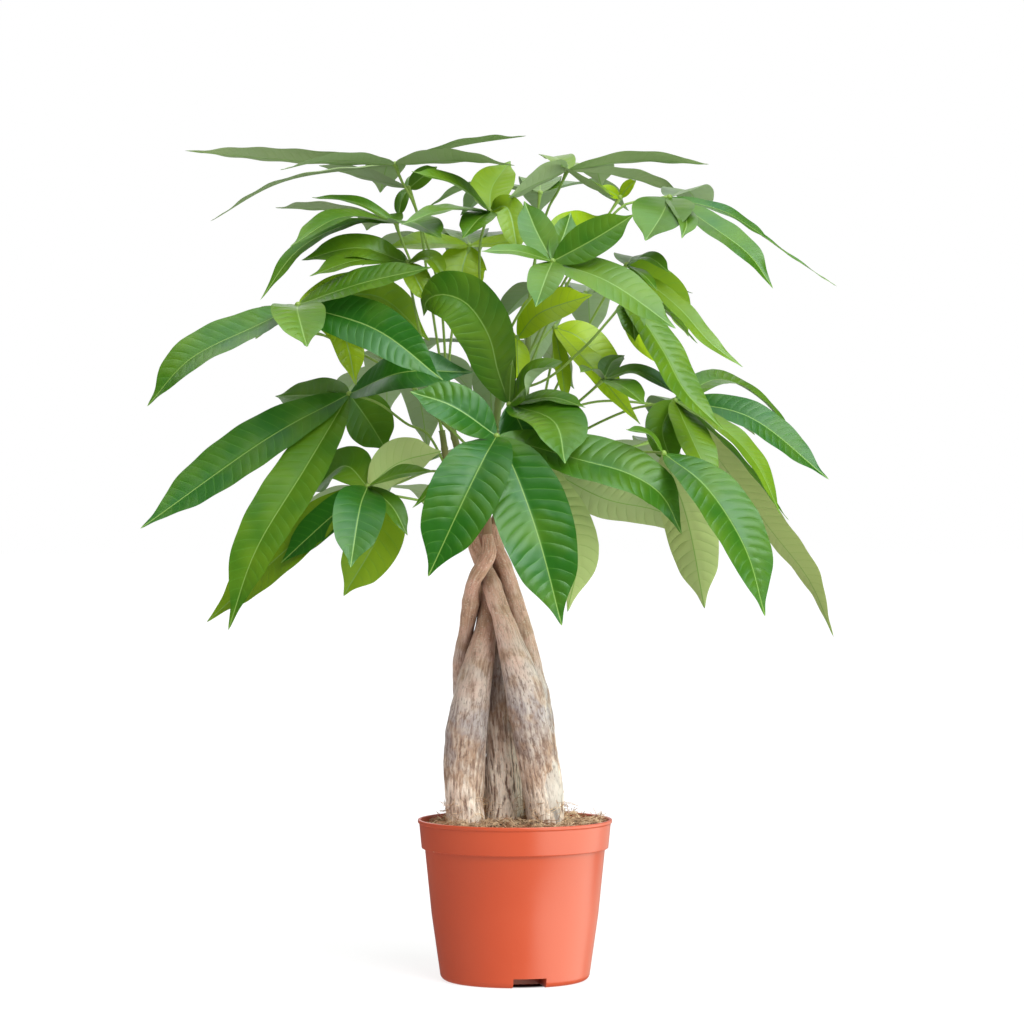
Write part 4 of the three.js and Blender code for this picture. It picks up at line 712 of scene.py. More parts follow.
def blade_finish(name, tone, dark, fresh, vein_colour, roughness):
    finish = Finish(name)
    patches = finish.noise(finish.place, 28.0)
    vein = ((finish.read("vein") + patches * 0.8) * math.pi).sine().size()
    side = finish.read("side").size()
    offset = finish.read("offset").size()
    colour = finish.mix(finish.read(tone) + (patches - 0.5) * 0.4, dark, fresh)
    colour = finish.mix((1 - vein.rise(0.02, 0.22)) * 0.3, colour, vein_colour)
    colour = finish.mix(1 - offset.rise(MIDRIB_HALF, 2 * MIDRIB_HALF), colour, MIDRIB_GREEN)
    puff = vein ** 0.7 * side.rise(0.04, 0.4) * (1 - side ** 6) * finish.read("crinkle")
    half = offset / side.math("MAXIMUM", 0.02)
    puff = puff * (patches.rise(0.3, 0.6) * 0.7 + 0.3) * half.rise(0.002, WIDE_HALF)
    shader = finish.surface({
        "Base Color": colour,
        "Roughness": roughness + (patches - 0.5) * 0.2,
        "Specular IOR Level": 0.5,
        "Specular Tint": SHEEN_TINT,
        "Normal": finish.dented(puff, PUFF_HEIGHT),
    })
    light = finish.add("BsdfTranslucent", {"Color": THROUGH_GREEN})
    return finish.done(finish.add("MixShader", {0: THROUGH_SHARE, 1: shader, 2: light}))


def stalk_finish():
    finish = Finish("stalk_green")
    patches = finish.noise(finish.place, 60.0)
    return finish.plain(finish.mix(patches, (0.14, 0.27, 0.035), (0.30, 0.42, 0.07)), 0.5)


blade_top = blade_finish("blade_top", "fresh", BLADE_DARK, BLADE_FRESH_AND_BACKLIT, BLADE_VEIN, 0.36)
blade_under = blade_finish("blade_under", "tone", UNDER_DARK, UNDER_FRESH, MIDRIB_GREEN, 0.62)
stalk_green = stalk_finish()

# %% [markdown]
# All the leaflets of a leaf come from one tree of geometry nodes. Each leaflet starts as a flat
# grid. The tree samples that leaflet's midrib for a place and a direction, takes the side from
# the direction and the way that the leaflet faces, and lays the grid along it. The grid's rows
# lean forward with the side veins, so that the relief between the veins needs few faces. The
# upper and the lower surface meet at the edge, where the blade's thickness runs out to nothing.

# %% The tree that grows leaflets
LEAFLET_SIZES = {
    "Rows": 57,
    "Columns": 13,
    "Fold": 0.22,
    "Vein pitch": 0.0040,
    "Vein lean": 0.5,
    "Edge wave": 0.0005,
    "Wave length": 0.034,
    "Thickness": 0.0005,
    "Groove": 0.0005,
    "Rib": 0.0008,
    "Stalk radius": 0.00115,
    "Seed": 3,
}
BLADE_SKEW = 0.92
BLADE_TAPER = 0.8
TIP_START = 0.76
TIP_END = 0.97
TIP_NARROWING = 0.55
CROWD = 0.4  # draws the grid's columns towards the midrib
FOLD_ROUND = 0.002
GROOVE_WIDTH = 0.0012
VEIN_SWEEP = 1.5
PITCH_PER_WIDTH = 0.1
WELD = 0.00002
SHARP_FOLD = 1.2
KNOB_SWELL = 0.9
BASE_SWELL = 0.7
SWELL_LENGTH = 0.007
STALK_SIDES = 10
HUB_RADIUS = 0.0028


def outline(share, width):
    """Half the blade's width at a share of its length."""
    skewed = share.math("MAXIMUM", 0) ** BLADE_SKEW
    half = width * 0.5 * (skewed * 4 * (1 - skewed)).math("MAXIMUM", 0) ** BLADE_TAPER
    return half * (1 - share.rise(TIP_START, TIP_END) * TIP_NARROWING)


def flat_blades(tree, midribs):
    """One flat grid for each midrib, which knows its number."""
    size = tree.given.out
    count = tree.add("AttributeDomainSize", {0: midribs}, "Spline Count", component="CURVE")
    spans = {"Size X": 1.0, "Size Y": 2.0, "Vertices X": size("Rows"), "Vertices Y": size("Columns")}
    grid = tree.add("MeshGrid", spans)
    x, y, _ = tree.add("InputPosition").split()
    grid = tree.store(grid, "along", x + 0.5)
    grid = tree.store(grid, "across", y * y.size() ** CROWD)
    spots = tree.add("Points", {"Count": count})
    blades = tree.add("InstanceOnPoints", {"Points": spots, "Instance": grid})
    return tree.realized(tree.store(blades, "leaflet", tree.add("InputIndex"), "INT", "INSTANCE"))

# %% [markdown]
# Now each grid is laid along its midrib. Its height is a sum of small formulas: a fold along the
# middle, waves at the edge, half the thickness, a groove on top and a rib below. Every one of
# them fades out at both ends of the blade, so that the two surfaces still meet there.

# %% Lay the blades
def laid_blades(tree, midribs):
    """The grids of all the leaflets, as an upper and a lower surface along their midribs."""
    size = tree.given.out
    blades = flat_blades(tree, midribs)
    leaflet = tree.read("leaflet", "INT")

    def along_rib(value, share, kind="FLOAT"):
        sockets = {"Curves": midribs, "Value": value, "Factor": share, "Curve Index": leaflet}
        return tree.add("SampleCurve", sockets, data_type=kind, mode="FACTOR")

    row = tree.read("along")
    across = tree.read("across")
    width = along_rib(tree.read("width"), 0.5)
    length = along_rib(tree.add("SplineLength"), 0.5)
    ahead = across.size() ** VEIN_SWEEP * outline(row, width) * size("Vein lean") / length
    share = (row + ahead).math("MINIMUM", 1)
    offset = across * outline(share, width)
    rib = along_rib(tree.read("face", "FLOAT_VECTOR"), share, "FLOAT_VECTOR")
    side = rib.vector("CROSS_PRODUCT", rib.out("Tangent")).vector("NORMALIZE")
    up = rib.out("Tangent").vector("CROSS_PRODUCT", side)

    middle = (row * 4 * (1 - row)).rise(0, 0.4)
    drawn = tree.add("RandomValue", {"Min": 0, "Max": 6, "ID": leaflet, "Seed": size("Seed")})
    turn = row * length / size("Wave length") * (2 * math.pi) + drawn + across.math("SIGN")
    wave = turn.sine() * size("Edge wave") * across.size() ** 3 * middle
    fold = ((offset**2 + FOLD_ROUND**2).math("SQRT") - FOLD_ROUND) * size("Fold")
    lift = fold + wave
    ends = row * (1 - row) > 0
    half = (1 - across**2) * size("Thickness") * 0.5 * ends
    crease = offset.bump(GROOVE_WIDTH) * ends
    upper = lift + half - crease * size("Groove") * middle
    lower = lift - half - crease * size("Rib") * (1 - row * 0.8)

    pitch = width * PITCH_PER_WIDTH + size("Vein pitch")
    stored = {"vein": row * length / pitch, "offset": offset, "side": across}
    for name in ("tone", "fresh", "crinkle"):
        stored[name] = along_rib(tree.read(name), 0.5)
    for name, value in stored.items():
        blades = tree.store(blades, name, value)
    centre = rib.out("Position").vector("ADD", side.vector("SCALE", offset))
    above, below = (
        tree.moved(blades, {"Position": centre.vector("ADD", up.vector("SCALE", height))})
        for height in (upper, lower)
    )
    below = tree.store(tree.add("FlipFaces", {0: below}), "under", 1, "BOOLEAN", "FACE")
    both = tree.add("JoinGeometry", {0: [above, below]})
    both = tree.add("MergeByDistance", {0: both, "Distance": WELD})
    sharp = tree.add("InputMeshEdgeAngle") > SHARP_FOLD
    sockets = {0: tree.smoothed(both), "Selection": sharp, "Shade Smooth": False}
    return tree.add("SetShadeSmooth", sockets, domain="EDGE")

# %% [markdown]
# A stalk is a tube with a ball at its hub, where the leaflets meet. The tree tells stalks from
# midribs by their width, which is 0 for a stalk, and then joins what it made of both.

# %% The stalks and the whole tree
def laid_stalks(tree, lines):
    """Round stalks, thicker at the hub and where they leave the shoot."""
    run = tree.add("SplineParameter").out("Length")
    left = tree.add("SplineLength") - run
    swell = run.bump(SWELL_LENGTH) * KNOB_SWELL + left.bump(SWELL_LENGTH) * BASE_SWELL
    radius = tree.given.out("Stalk radius") * (swell + 1)
    tube = tree.swept(lines, tree.ring(STALK_SIDES), radius)
    ball = tree.add("MeshIcoSphere", {"Radius": HUB_RADIUS, "Subdivisions": 2})
    ends = tree.add("CurveEndpointSelection", {"Start Size": 1, "End Size": 0})
    knobs = tree.add("InstanceOnPoints", {"Points": lines, "Selection": ends, "Instance": ball})
    both = tree.add("JoinGeometry", {0: [tube, tree.realized(knobs)]})
    return tree.store(tree.smoothed(both), "stalk", 1, "BOOLEAN", "FACE")


def leaflet_tree():
    tree = Grower("leaflets", LEAFLET_SIZES)
    lines = tree.add("MeshToCurve", {0: tree.given.out("Geometry")})
    parts = tree.add("SeparateGeometry", {0: lines, "Selection": tree.read("width") > 0}, domain="CURVE")
    pieces = [laid_blades(tree, parts), laid_stalks(tree, parts.out("Inverted"))]
    leaf = tree.realized(tree.add("JoinGeometry", {0: pieces}))
    leaf = tree.painted(leaf, blade_top)
    leaf = tree.painted(leaf, blade_under, tree.read("under", "BOOLEAN"))
    return tree.finish(tree.painted(leaf, stalk_green, tree.read("stalk", "BOOLEAN")))


leaflets = leaflet_tree()

# %% [markdown]
# Young leaves are yellow-green and old ones dark, so each leaf has a tone from 0, dark, to 1,
# fresh. On the backlit leaves the fresh tone is partly painted light, for the light that comes
# through them. `tone` colours a blade's under side and `fresh` its upper side. One call of the
# tree then makes each leaf from its bare lines.

# %% Grow the leaves
USUAL_TONE = 0.15
BACK_TONE = 0.3  # the most for the upper side of a leaflet that shows the front its under side
# The fresh tones of leaf_bright and leaf_backlit partly paint in the light that comes through them.
TONES = {
    "leaf_bright": 0.95,
    "leaf_backlit": 0.7,
    "leaf_young": 0.7,
    "leaf_top_right": 0.35,
    "leaf_top_left": 0.3,
    "leaf_left": 0.2,
}
USUAL_CRINKLE = 0.35
CRINKLES = {
    "leaf_front": 1.0,
    "leaf_low_right": 1.0,
    "leaf_right_glossy": 1.0,
    "leaf_centre": 0.8,
    "leaf_left": 0.7,
    "leaf_right_slender": 0.15,
    "leaf_upper_right": 0.15,
}
RIB_POINTS = 20
STALK_POINTS = 28
BEARER_STEPS = 100


def leaf_lines(name, root, stalk, blades):
    """A leaf's stalk and midribs as bare lines, with what each of them carries."""
    shoot, share = root
    bearer = smooth_line([*map(seen, SHOOTS[shoot])], BEARER_STEPS + 1)
    foot = bearer[round(share * BEARER_STEPS)]
    tone = TONES.get(name, USUAL_TONE)
    bare = {"width": 0, "tone": tone, "fresh": tone, "face": (0, 0, 1), "crinkle": 0}
    lines = [(smooth_line([*map(seen, stalk), foot], STALK_POINTS), bare)]
    for rib, width, face, *own_tone in blades:
        carried = {"width": width * MM, "tone": own_tone[0] if own_tone else tone, "face": face}
        carried["fresh"] = min(carried["tone"], BACK_TONE) if face[1] > 0 else carried["tone"]
        carried["crinkle"] = CRINKLES.get(name, USUAL_CRINKLE)
        lines.append((smooth_line([*map(seen, (stalk[0], *rib))], RIB_POINTS), carried))
    return lines


for number, (name, (root, stalk, *blades)) in enumerate(LEAVES.items()):
    lines = bare_lines(name + "_lines", leaf_lines(name, root, stalk, blades))
    settle(grown(name + "_grown", lines, leaflets, {"Seed": number}), [name])

# %% [markdown]
# The stems' bark changes with height. At the soil it is pale and splits into long fibres, above
# that it is grey and finely cracked, and near the knot it is smooth and reddish. A ramp gives the
# main colour by height. Noise, drawn out along the stem, then lays flakes, fibres, specks and
# rings over it, one layer after the other. `around` and `run` say where round the stem and how
# far along it a place on the bark is.

# %% Bark colours and grains
BARK_LEVELS = [
    (0.0, (0.98, 0.83, 0.69)),
    (0.12, (0.96, 0.775, 0.64)),
    (0.20, (0.64, 0.44, 0.33)),
    (0.27, (0.36, 0.25, 0.20)),
    (0.40, (0.43, 0.355, 0.345)),
    (0.52, (0.63, 0.49, 0.43)),
    (0.68, (0.70, 0.42, 0.32)),
    (1.0, (0.62, 0.31, 0.215)),
]
BARK_LOW = 0.135
BARK_HIGH = 0.385
TAN = (0.44, 0.25, 0.14)
FLAKE_PALE = (0.80, 0.68, 0.58)
FLAKE_DARK = (0.22, 0.11, 0.065)
FIBRE_PALE = (1.0, 0.88, 0.76)
FIBRE_DARK = (0.14, 0.06, 0.035)
BARE_GREY = (0.55, 0.475, 0.42)
BARE_STAIN = (0.22, 0.19, 0.17)
STRIP_BROWN = (0.34, 0.18, 0.10)
RING_PALE = (0.80, 0.66, 0.52)
SPECK_DARK = (0.14, 0.075, 0.05)
SPECK_PALE = (0.66, 0.55, 0.46)
# Painted shade in the crevices between stems.
CREVICE_SHADE_BROWN = (0.10, 0.04, 0.018)
CREVICE_SHADE_SHARE = 0.9
# Each patch is the place of its middle across and up, and how wide and how long it is.
BARE_PATCH = (0.034, 0.168, 0.008, 0.028)
BROWN_PATCH = (0.015, 0.168, 0.010, 0.022)
# Each grain is how far it is drawn out along the stem, its scale and its detail.
FIBRE_GRAIN = (6, 420.0, 5.0)
SPECK_GRAIN = (3, 700.0, 3.0)
FLAKE_GRAIN = (2, 170.0, 4.0)
RING_GRAIN = (0.4, 330.0, 0.0)
BARK_RELIEF = 0.0022


def grain(maker, around, run, kind):
    """Noise on the bark, laid round a thin core and drawn out along the stem."""
    stretch, scale, detail = kind
    x, y, _ = around.split()
    return maker.noise(maker.join(x, y, run / stretch), scale, detail)

# %% [markdown]
# Each layer has a share that says where it shows. `level` is 0 at the soil and 1 at the knot, and
# `base`, `belly` and `upper` are three zones of it. Two patches on the front are wood that lies
# bare and a brown strip beside it. Last comes painted shade: the bark is darker in the crevices
# between stems, where shade falls.

# %% Bark finish
def bark_finish():
    finish = Finish("bark")
    x, y, height = finish.place.split()
    around = finish.add("Attribute", None, "Vector", attribute_name="around")
    run = finish.read("run")
    fibres = grain(finish, around, run, FIBRE_GRAIN)
    specks = grain(finish, around, run, SPECK_GRAIN)
    flakes = grain(finish, around, run, FLAKE_GRAIN)
    rings = grain(finish, around, run, RING_GRAIN)
    broad = finish.noise(finish.place, 38.0, 3.0)
    tan = finish.noise(finish.place, 52.0, 3.0)

    lifted = height - finish.read("lift")
    level = (lifted - BARK_LOW) / (BARK_HIGH - BARK_LOW) + (broad - 0.5) * 0.4
    base = 1 - level.rise(0.05, 0.32)
    belly = level.rise(0.08, 0.35) * (1 - level.rise(0.4, 0.75)) * broad.rise(0.3, 0.6)
    upper = level.rise(0.5, 0.7)
    front = (y * -1).rise(0, 0.01)

    def patch(middle, middle_height, width, length):
        return (x - middle).bump(width) * (height - middle_height).bump(length) * front

    bare = (patch(*BARE_PATCH) + (flakes - 0.5) * 1.2).rise(0.45, 0.6)
    brown = patch(*BROWN_PATCH) * fibres.rise(0.4, 0.55)
    # Painted shade: the bark is darker where another stem is near, and less so at the foot.
    crevice = finish.read("crevice") * (1 - base * 0.9)
    layers = [
        ((1 - tan.rise(0.36, 0.52)) * (0.6 - base * 0.3), TAN),
        (flakes.rise(0.52, 0.66) * (base * 0.35 + 0.2), FLAKE_PALE),
        ((1 - flakes.rise(0.34, 0.46)) * (upper * 0.25 + 0.25), FLAKE_DARK),
        (fibres.rise(0.52, 0.62) * (base * 0.8 + 0.2 - upper * 0.12), FIBRE_PALE),
        ((1 - fibres.rise(0.36, 0.47)) * (base * 0.4 + 0.5 - upper * 0.3), FIBRE_DARK),
        (bare * 0.75, BARE_GREY),
        (brown * 0.7, STRIP_BROWN),
        (bare * (1 - tan.rise(0.36, 0.42)) * 0.6, BARE_STAIN),
        (rings.rise(0.66, 0.72) * upper * 0.5, RING_PALE),
        ((1 - specks.rise(0.34, 0.47)) * (belly * 0.45 + 0.25), SPECK_DARK),
        (specks.rise(0.58, 0.72) * (belly * 0.35 + 0.2), SPECK_PALE),
        (crevice * CREVICE_SHADE_SHARE, CREVICE_SHADE_BROWN),
    ]
    colour = finish.add("ValToRGB", {"Fac": level}, "Color", BARK_LEVELS)
    for share, tint in layers:
        colour = finish.mix(share, colour, tint)
    relief = fibres * (base + 0.2) + specks * (belly + 0.2) * 0.5 + flakes * 0.6
    return finish.plain(colour, 0.75, finish.dented(relief, BARK_RELIEF))


def shoot_finish():
    finish = Finish("shoot_green")
    _, _, height = finish.place.split()
    mottle = finish.noise(finish.place, 160.0, 4.0)
    green = height.rise(0.41, 0.50) * 0.85 + mottle * 0.15
    colour = finish.mix(green, (0.26, 0.13, 0.07), (0.16, 0.24, 0.05))
    return finish.plain(colour, 0.6, finish.dented(mottle, 0.0003))


bark = bark_finish()
shoot_green = shoot_finish()

# %% [markdown]
# The cracks in the bark are deep enough to show at the stem's edge, so they are real geometry. A
# tube is swept along each stem, and the same noise that colours the fibres moves its skin in and
# out. The noise is laid out on a ring of one radius, whatever the stem's own, so that the fibres
# stay equally fine where a stem gets thin. The shoots use the tree too, nearly smooth.

# %% The tree that grows bark
BARK_SIZES = {
    "Sides": 72,
    "Fissure": 0.0011,
    "Lump": 0.0013,
    "Smooth above": 0.30,
    "Rough below": 0.17,
}
SMOOTHING = 0.85
LUMP_SCALE = 45.0
GRAIN_ROUND = 0.015


def bark_tree(name, material):
    tree = Grower(name, BARK_SIZES)
    size = tree.given.out
    line = tree.add("MeshToCurve", {0: size("Geometry")})
    spot = tree.add("SplineParameter")
    line = tree.store(line, "run", spot.out("Length"))
    ring = tree.ring(size("Sides"))
    angle = spot * (2 * math.pi)
    around = tree.join(angle.sine() * GRAIN_ROUND, angle.math("COSINE") * GRAIN_ROUND, 0)
    ring = tree.store(ring, "around", around, "FLOAT_VECTOR")
    skin = tree.swept(line, ring, tree.read("radius"))
    place = tree.add("InputPosition")
    _, _, height = place.split()
    around = tree.read("around", "FLOAT_VECTOR")
    fissure = grain(tree, around, tree.read("run"), FIBRE_GRAIN) - 0.5
    rough = 1 - height.rise(size("Rough below"), size("Smooth above")) * SMOOTHING
    lump = tree.noise(place, LUMP_SCALE, 1.0) - 0.5
    out = fissure * size("Fissure") * 2 * rough + lump * size("Lump") * 2
    skin = tree.moved(skin, {"Offset": tree.add("InputNormal").vector("SCALE", out)})
    return tree.finish(tree.painted(tree.realized(tree.smoothed(skin)), material))


stem_skin = bark_tree("stem_bark", bark)
shoot_skin = bark_tree("shoot_bark", shoot_green)

# %% [markdown]
# Where a stem was nicked, or bore a side shoot, it is a little thicker or thinner. Those places
# are listed by height, with the change of the radius and how far it reaches. Where stems meet,
# shade is painted: each skin also stores how near the next stem is, and its bark is painted
# darker there.
# A lift moves all the colours of a stem's bark up or down, because no two stems are alike.

# %% The lines of the stems and the shoots
STEM_MARKS = {
    "stem_front_left": [(158, -0.9, 1.6), (300, 0.5, 5)],
    "stem_back_left": [(330, 1.0, 5), (356, 0.5, 4)],
    "stem_front_right": [(344, 0.6, 4), (366, 0.9, 6)],
    "stem_middle": [(196, -0.7, 2), (313, 0.6, 4)],
}
BARK_LIFTS = {
    "stem_front_left": -0.012,
    "stem_middle": 0.028,
    "stem_front_right": 0.004,
    "stem_back_right": 0.0,
    "stem_back_left": -0.01,
}
STEM_POINTS = 190
TOP_TAPER = 0.014
CREVICE_SHADE_REACH = 0.0055
FAR_OFF = 1.0
SHOOT_SIZES = {"Sides": 20, "Fissure": 0.0002, "Lump": 0.0003}
SHOOT_POINTS = 90
SHOOT_FOOT = 0.0042
SHOOT_TIP = 0.0026
SHOOT_NODES = 6
NODE_SWELL = 0.16
NODE_SHARPNESS = 12


def stem_line(name, rows):
    points = [seen(row[:3]) for row in rows]
    line, radius = smooth_line(points, STEM_POINTS, [row[3] * MM for row in rows])
    for height, change, reach in STEM_MARKS.get(name, []):
        radius = radius + change * MM * np.exp(-(((line[:, 2] / MM - height) / reach) ** 2))
    left = np.linalg.norm(line - line[-1], axis=1) / TOP_TAPER
    radius = SHOOT_FOOT + (radius - SHOOT_FOOT) * np.sqrt(np.clip(left, 0, 1))
    return line, {"radius": radius, "lift": BARK_LIFTS[name]}


def shoot_line(points):
    line = smooth_line([*map(seen, points)], SHOOT_POINTS)
    share = np.linspace(0, 1, SHOOT_POINTS)
    radius = SHOOT_FOOT + (SHOOT_TIP - SHOOT_FOOT) * share
    swell = np.maximum(0, np.cos(share * SHOOT_NODES * 2 * math.pi)) ** NODE_SHARPNESS
    return line, {"radius": radius * (1 + NODE_SWELL * swell)}


def mark_crevice_shade(skin, others):
    """Stores how near each place on a skin is to the other stems: 1 where they touch."""
    places = np.empty(len(skin.data.vertices) * 3)
    skin.data.vertices.foreach_get("co", places)
    places = places.reshape(-1, 1, 3)
    gap = np.full(len(places), FAR_OFF)
    for line, carried in others:
        reach = np.linalg.norm(places - line, axis=2) - carried["radius"]
        gap = np.minimum(gap, reach.min(axis=1))
    # This nearness is the share of painted shade in the bark's colour.
    attribute = skin.data.attributes.new("crevice", "FLOAT", "POINT")
    attribute.data.foreach_set("value", np.exp(-np.maximum(gap, 0) / CREVICE_SHADE_REACH))

# %% [markdown]
# Now the skins can be grown. The stems' lines are all made first, because the painted shade in
# the crevices of one stem depends on where the others are.

# %% Grow the stems and the shoots
stem_lines = {name: stem_line(name, rows) for name, rows in STEMS.items()}
for name, line in stem_lines.items():
    skin = grown(name + "_bark", bare_lines(name + "_line", [line]), stem_skin)
    mark_crevice_shade(skin, [other for key, other in stem_lines.items() if key != name])
    settle(skin, [name])

for name, points in SHOOTS.items():
    line = bare_lines(name + "_line", [shoot_line(points)])
    settle(grown(name + "_bark", line, shoot_skin, SHOOT_SIZES), [name])

# %% [markdown]
# The pot's plastic is terracotta-coloured, with a satin surface. It is nearly even, so a broad
# haze and very fine specks are enough to keep it from looking painted. Inside, it is darker:
# partly a stain from wet soil, partly painted shade. The dark starts where a place is nearer the
# axis than the middle of the wall.

# %% Pot finish
PLASTIC = (0.55, 0.062, 0.012)
PLASTIC_PALE = (0.58, 0.078, 0.018)
SOIL_STAIN_AND_SHADE = (0.06, 0.024, 0.02)
STAIN_AND_SHADE_SHARE = 0.9
WALL_LEAN = 0.127
WALL_MIDDLE = (0.0637, 0.0644)
SPECK_RELIEF = 0.00006


def plastic_finish():
    finish = Finish("pot_plastic")
    x, y, height = finish.place.split()
    haze = finish.noise(finish.place, 14.0, 3.0)
    specks = finish.noise(finish.place, 700.0, 2.0)
    colour = finish.mix(haze.rise(0.35, 0.75) * 0.3, PLASTIC, PLASTIC_PALE)
    from_axis = (x * x + y * y).math("SQRT")
    # The inner wall is darkened: partly soil stain, partly painted shade.
    inside = 1 - (from_axis - height * WALL_LEAN).rise(*WALL_MIDDLE)
    return finish.done(finish.surface({
        "Base Color": finish.mix(inside * height.rise(0.02, 0.12) * STAIN_AND_SHADE_SHARE, colour, SOIL_STAIN_AND_SHADE),
        "Roughness": 0.34 + (haze - 0.5) * 0.12,
        "Specular IOR Level": 0.9,
        "Normal": finish.dented(specks, SPECK_RELIEF, 0.6),
    }))


plastic = plastic_finish()

# %% [markdown]
# The pot is moulded in one piece: a thin rim lip, a collar with a step under it, and a wall that
# tapers to a rounded foot. It is turned from one profile, because a pot is a body of revolution.

# %% The pot's profile
POT_HEIGHT = 0.140
RIM_RADIUS = 0.085
COLLAR_FOOT = 0.115
COLLAR_FOOT_RADIUS = 0.0818
WALL_TOP_RADIUS = 0.0792
FOOT_RADIUS = 0.0656
FOOT_ROUND = 0.006
POT_WALL = 0.0016
POT_FLOOR = 0.002
WALL_BULGE = 0.0006
LIP_HEIGHT = 0.003
LIP_PROUD = 0.0012
LIP_ROUND = 0.0006
STEP_ROUND = 0.0008
INNER_RIM = RIM_RADIUS - LIP_PROUD - POT_WALL
POT_SIDES = 144
POT_CREASE = math.radians(35)
POINTS_TO_LIP = 20  # how many points the profile has up to the lip


def arc(centre, radius, start, end, steps):
    """Points on a round stretch of a profile, between two angles in degrees from outwards."""
    angles = [math.radians(start + (end - start) * i / steps) for i in range(steps + 1)]
    return [(centre[0] + radius * math.cos(a), centre[1] + radius * math.sin(a)) for a in angles]


def turned(name, profile, sides):
    """A mesh turned from a profile that runs from the axis out and back to the axis."""
    (_, low), *rings, (_, high) = profile
    turns = [(math.cos(a), math.sin(a)) for a in np.linspace(0, 2 * math.pi, sides, endpoint=False)]
    spots = [(radius * x, radius * y, height) for radius, height in rings for x, y in turns]
    first, last = len(spots), len(spots) - sides
    spots += [(0, 0, low), (0, 0, high)]
    faces = []
    for here in range(sides):
        there = (here + 1) % sides
        faces.append((first, there, here))
        for ring in range(0, last, sides):
            above = ring + sides
            faces.append((ring + here, ring + there, above + there, above + here))
        faces.append((last + here, last + there, first + 1))
    mesh = bpy.data.meshes.new(name)
    mesh.from_pydata(spots, [], faces)
    return mesh


def pot_profile():
    return [
        (0, 0),
        *arc((FOOT_RADIUS - FOOT_ROUND, FOOT_ROUND), FOOT_ROUND, -90, 0, 8),
        ((FOOT_RADIUS + WALL_TOP_RADIUS) / 2 + WALL_BULGE, COLLAR_FOOT / 2),
        (WALL_TOP_RADIUS - STEP_ROUND / 2, COLLAR_FOOT - STEP_ROUND),
        (WALL_TOP_RADIUS, COLLAR_FOOT),
        *arc((COLLAR_FOOT_RADIUS - STEP_ROUND, COLLAR_FOOT + STEP_ROUND), STEP_ROUND, -90, 0, 4),
        (RIM_RADIUS - LIP_PROUD, POT_HEIGHT - LIP_HEIGHT - LIP_ROUND),
        (RIM_RADIUS - LIP_ROUND / 2, POT_HEIGHT - LIP_HEIGHT),
        (RIM_RADIUS, POT_HEIGHT - LIP_HEIGHT + LIP_ROUND),
        *arc((RIM_RADIUS - LIP_ROUND, POT_HEIGHT - LIP_ROUND), LIP_ROUND, 0, 90, 4),
        (INNER_RIM + LIP_ROUND, POT_HEIGHT),
        (INNER_RIM, POT_HEIGHT - LIP_ROUND),
        (COLLAR_FOOT_RADIUS - POT_WALL, COLLAR_FOOT + POT_WALL),
        (WALL_TOP_RADIUS - POT_WALL, COLLAR_FOOT),
        (FOOT_RADIUS - POT_WALL, FOOT_ROUND),
        (FOOT_RADIUS - FOOT_ROUND, POT_FLOOR),
        (0, POT_FLOOR),
    ]

# %% [markdown]
# Only the three drain channels in the foot aren't turned. Inside, each has a low roof. So the
# roofs are joined to the wall first, and then the channels are cut from below, both with a
# Boolean modifier. A block that stands for a channel serves for its roof too, grown by the
# thickness of the floor.

# %% The drain channels
DRAINS = 3
DRAIN_TURN = 11.5  # degrees
DRAIN_WIDTH = 0.029
DRAIN_HEIGHT = 0.0085
DRAIN_REACH = 0.030
CUT_PAST = 0.005


def drain_blocks(grow):
    """The blocks that stand where the drain channels are, grown on all sides."""
    shape = bmesh.new()
    length = DRAIN_REACH + CUT_PAST + grow
    height = DRAIN_HEIGHT + CUT_PAST + grow
    for i in range(DRAINS):
        block = bmesh.ops.create_cube(shape, size=1.0)["verts"]
        bmesh.ops.scale(shape, verts=block, vec=(DRAIN_WIDTH + 2 * grow, length, height))
        centre = (0, length / 2 - FOOT_RADIUS - CUT_PAST, height / 2 - CUT_PAST)
        bmesh.ops.translate(shape, verts=block, vec=centre)
        turn = math.radians(DRAIN_TURN + 360 / DRAINS * i)
        cosine, sine = math.cos(turn), math.sin(turn)
        for spot in block:
            x, y, z = spot.co
            spot.co = (cosine * x - sine * y, sine * x + cosine * y, z)
    return to_mesh("drain_blocks", shape)


def to_mesh(name, shape):
    mesh = bpy.data.meshes.new(name)
    shape.to_mesh(mesh)
    shape.free()
    return mesh


def cut(piece, cutter, operation="DIFFERENCE"):
    modifier = piece.modifiers.new("cut", "BOOLEAN")
    modifier.operation = operation
    modifier.solver = "EXACT"
    modifier.object = cutter
    mesh = evaluated(piece)
    piece.modifiers.clear()
    piece.data = mesh


def make_pot():
    """The moulded wall, with the channels' roofs inside and the channels cut from below."""
    to_lip = [*pot_profile()[:POINTS_TO_LIP], (0, POT_HEIGHT)]
    wall = shown("pot_moulding", turned("pot_moulding", pot_profile(), POT_SIDES))
    roofs = shown("drain_roofs", drain_blocks(POT_FLOOR))
    solid = shown("pot_solid", turned("pot_solid", to_lip, POT_SIDES))
    cut(roofs, solid, "INTERSECT")
    cut(wall, roofs, "UNION")
    channels = shown("drain_channels", drain_blocks(0))
    cut(wall, channels)
    for helper in (roofs, solid, channels):
        bpy.data.objects.remove(helper)
    wall.data.materials.clear()
    wall.data.materials.append(plastic)
    wall.data.shade_smooth()
    wall.data.set_sharp_from_angle(angle=POT_CREASE)
    return wall


settle(make_pot(), ["pot"])

# %% [markdown]
# The soil is a crumbly mix with a lot of coconut fibre. Noise of two sizes gives dark earth, tan
# crumbs and paler clumps. A fibre is too thin to show a pattern of its own, so its tint only
# changes from place to place.

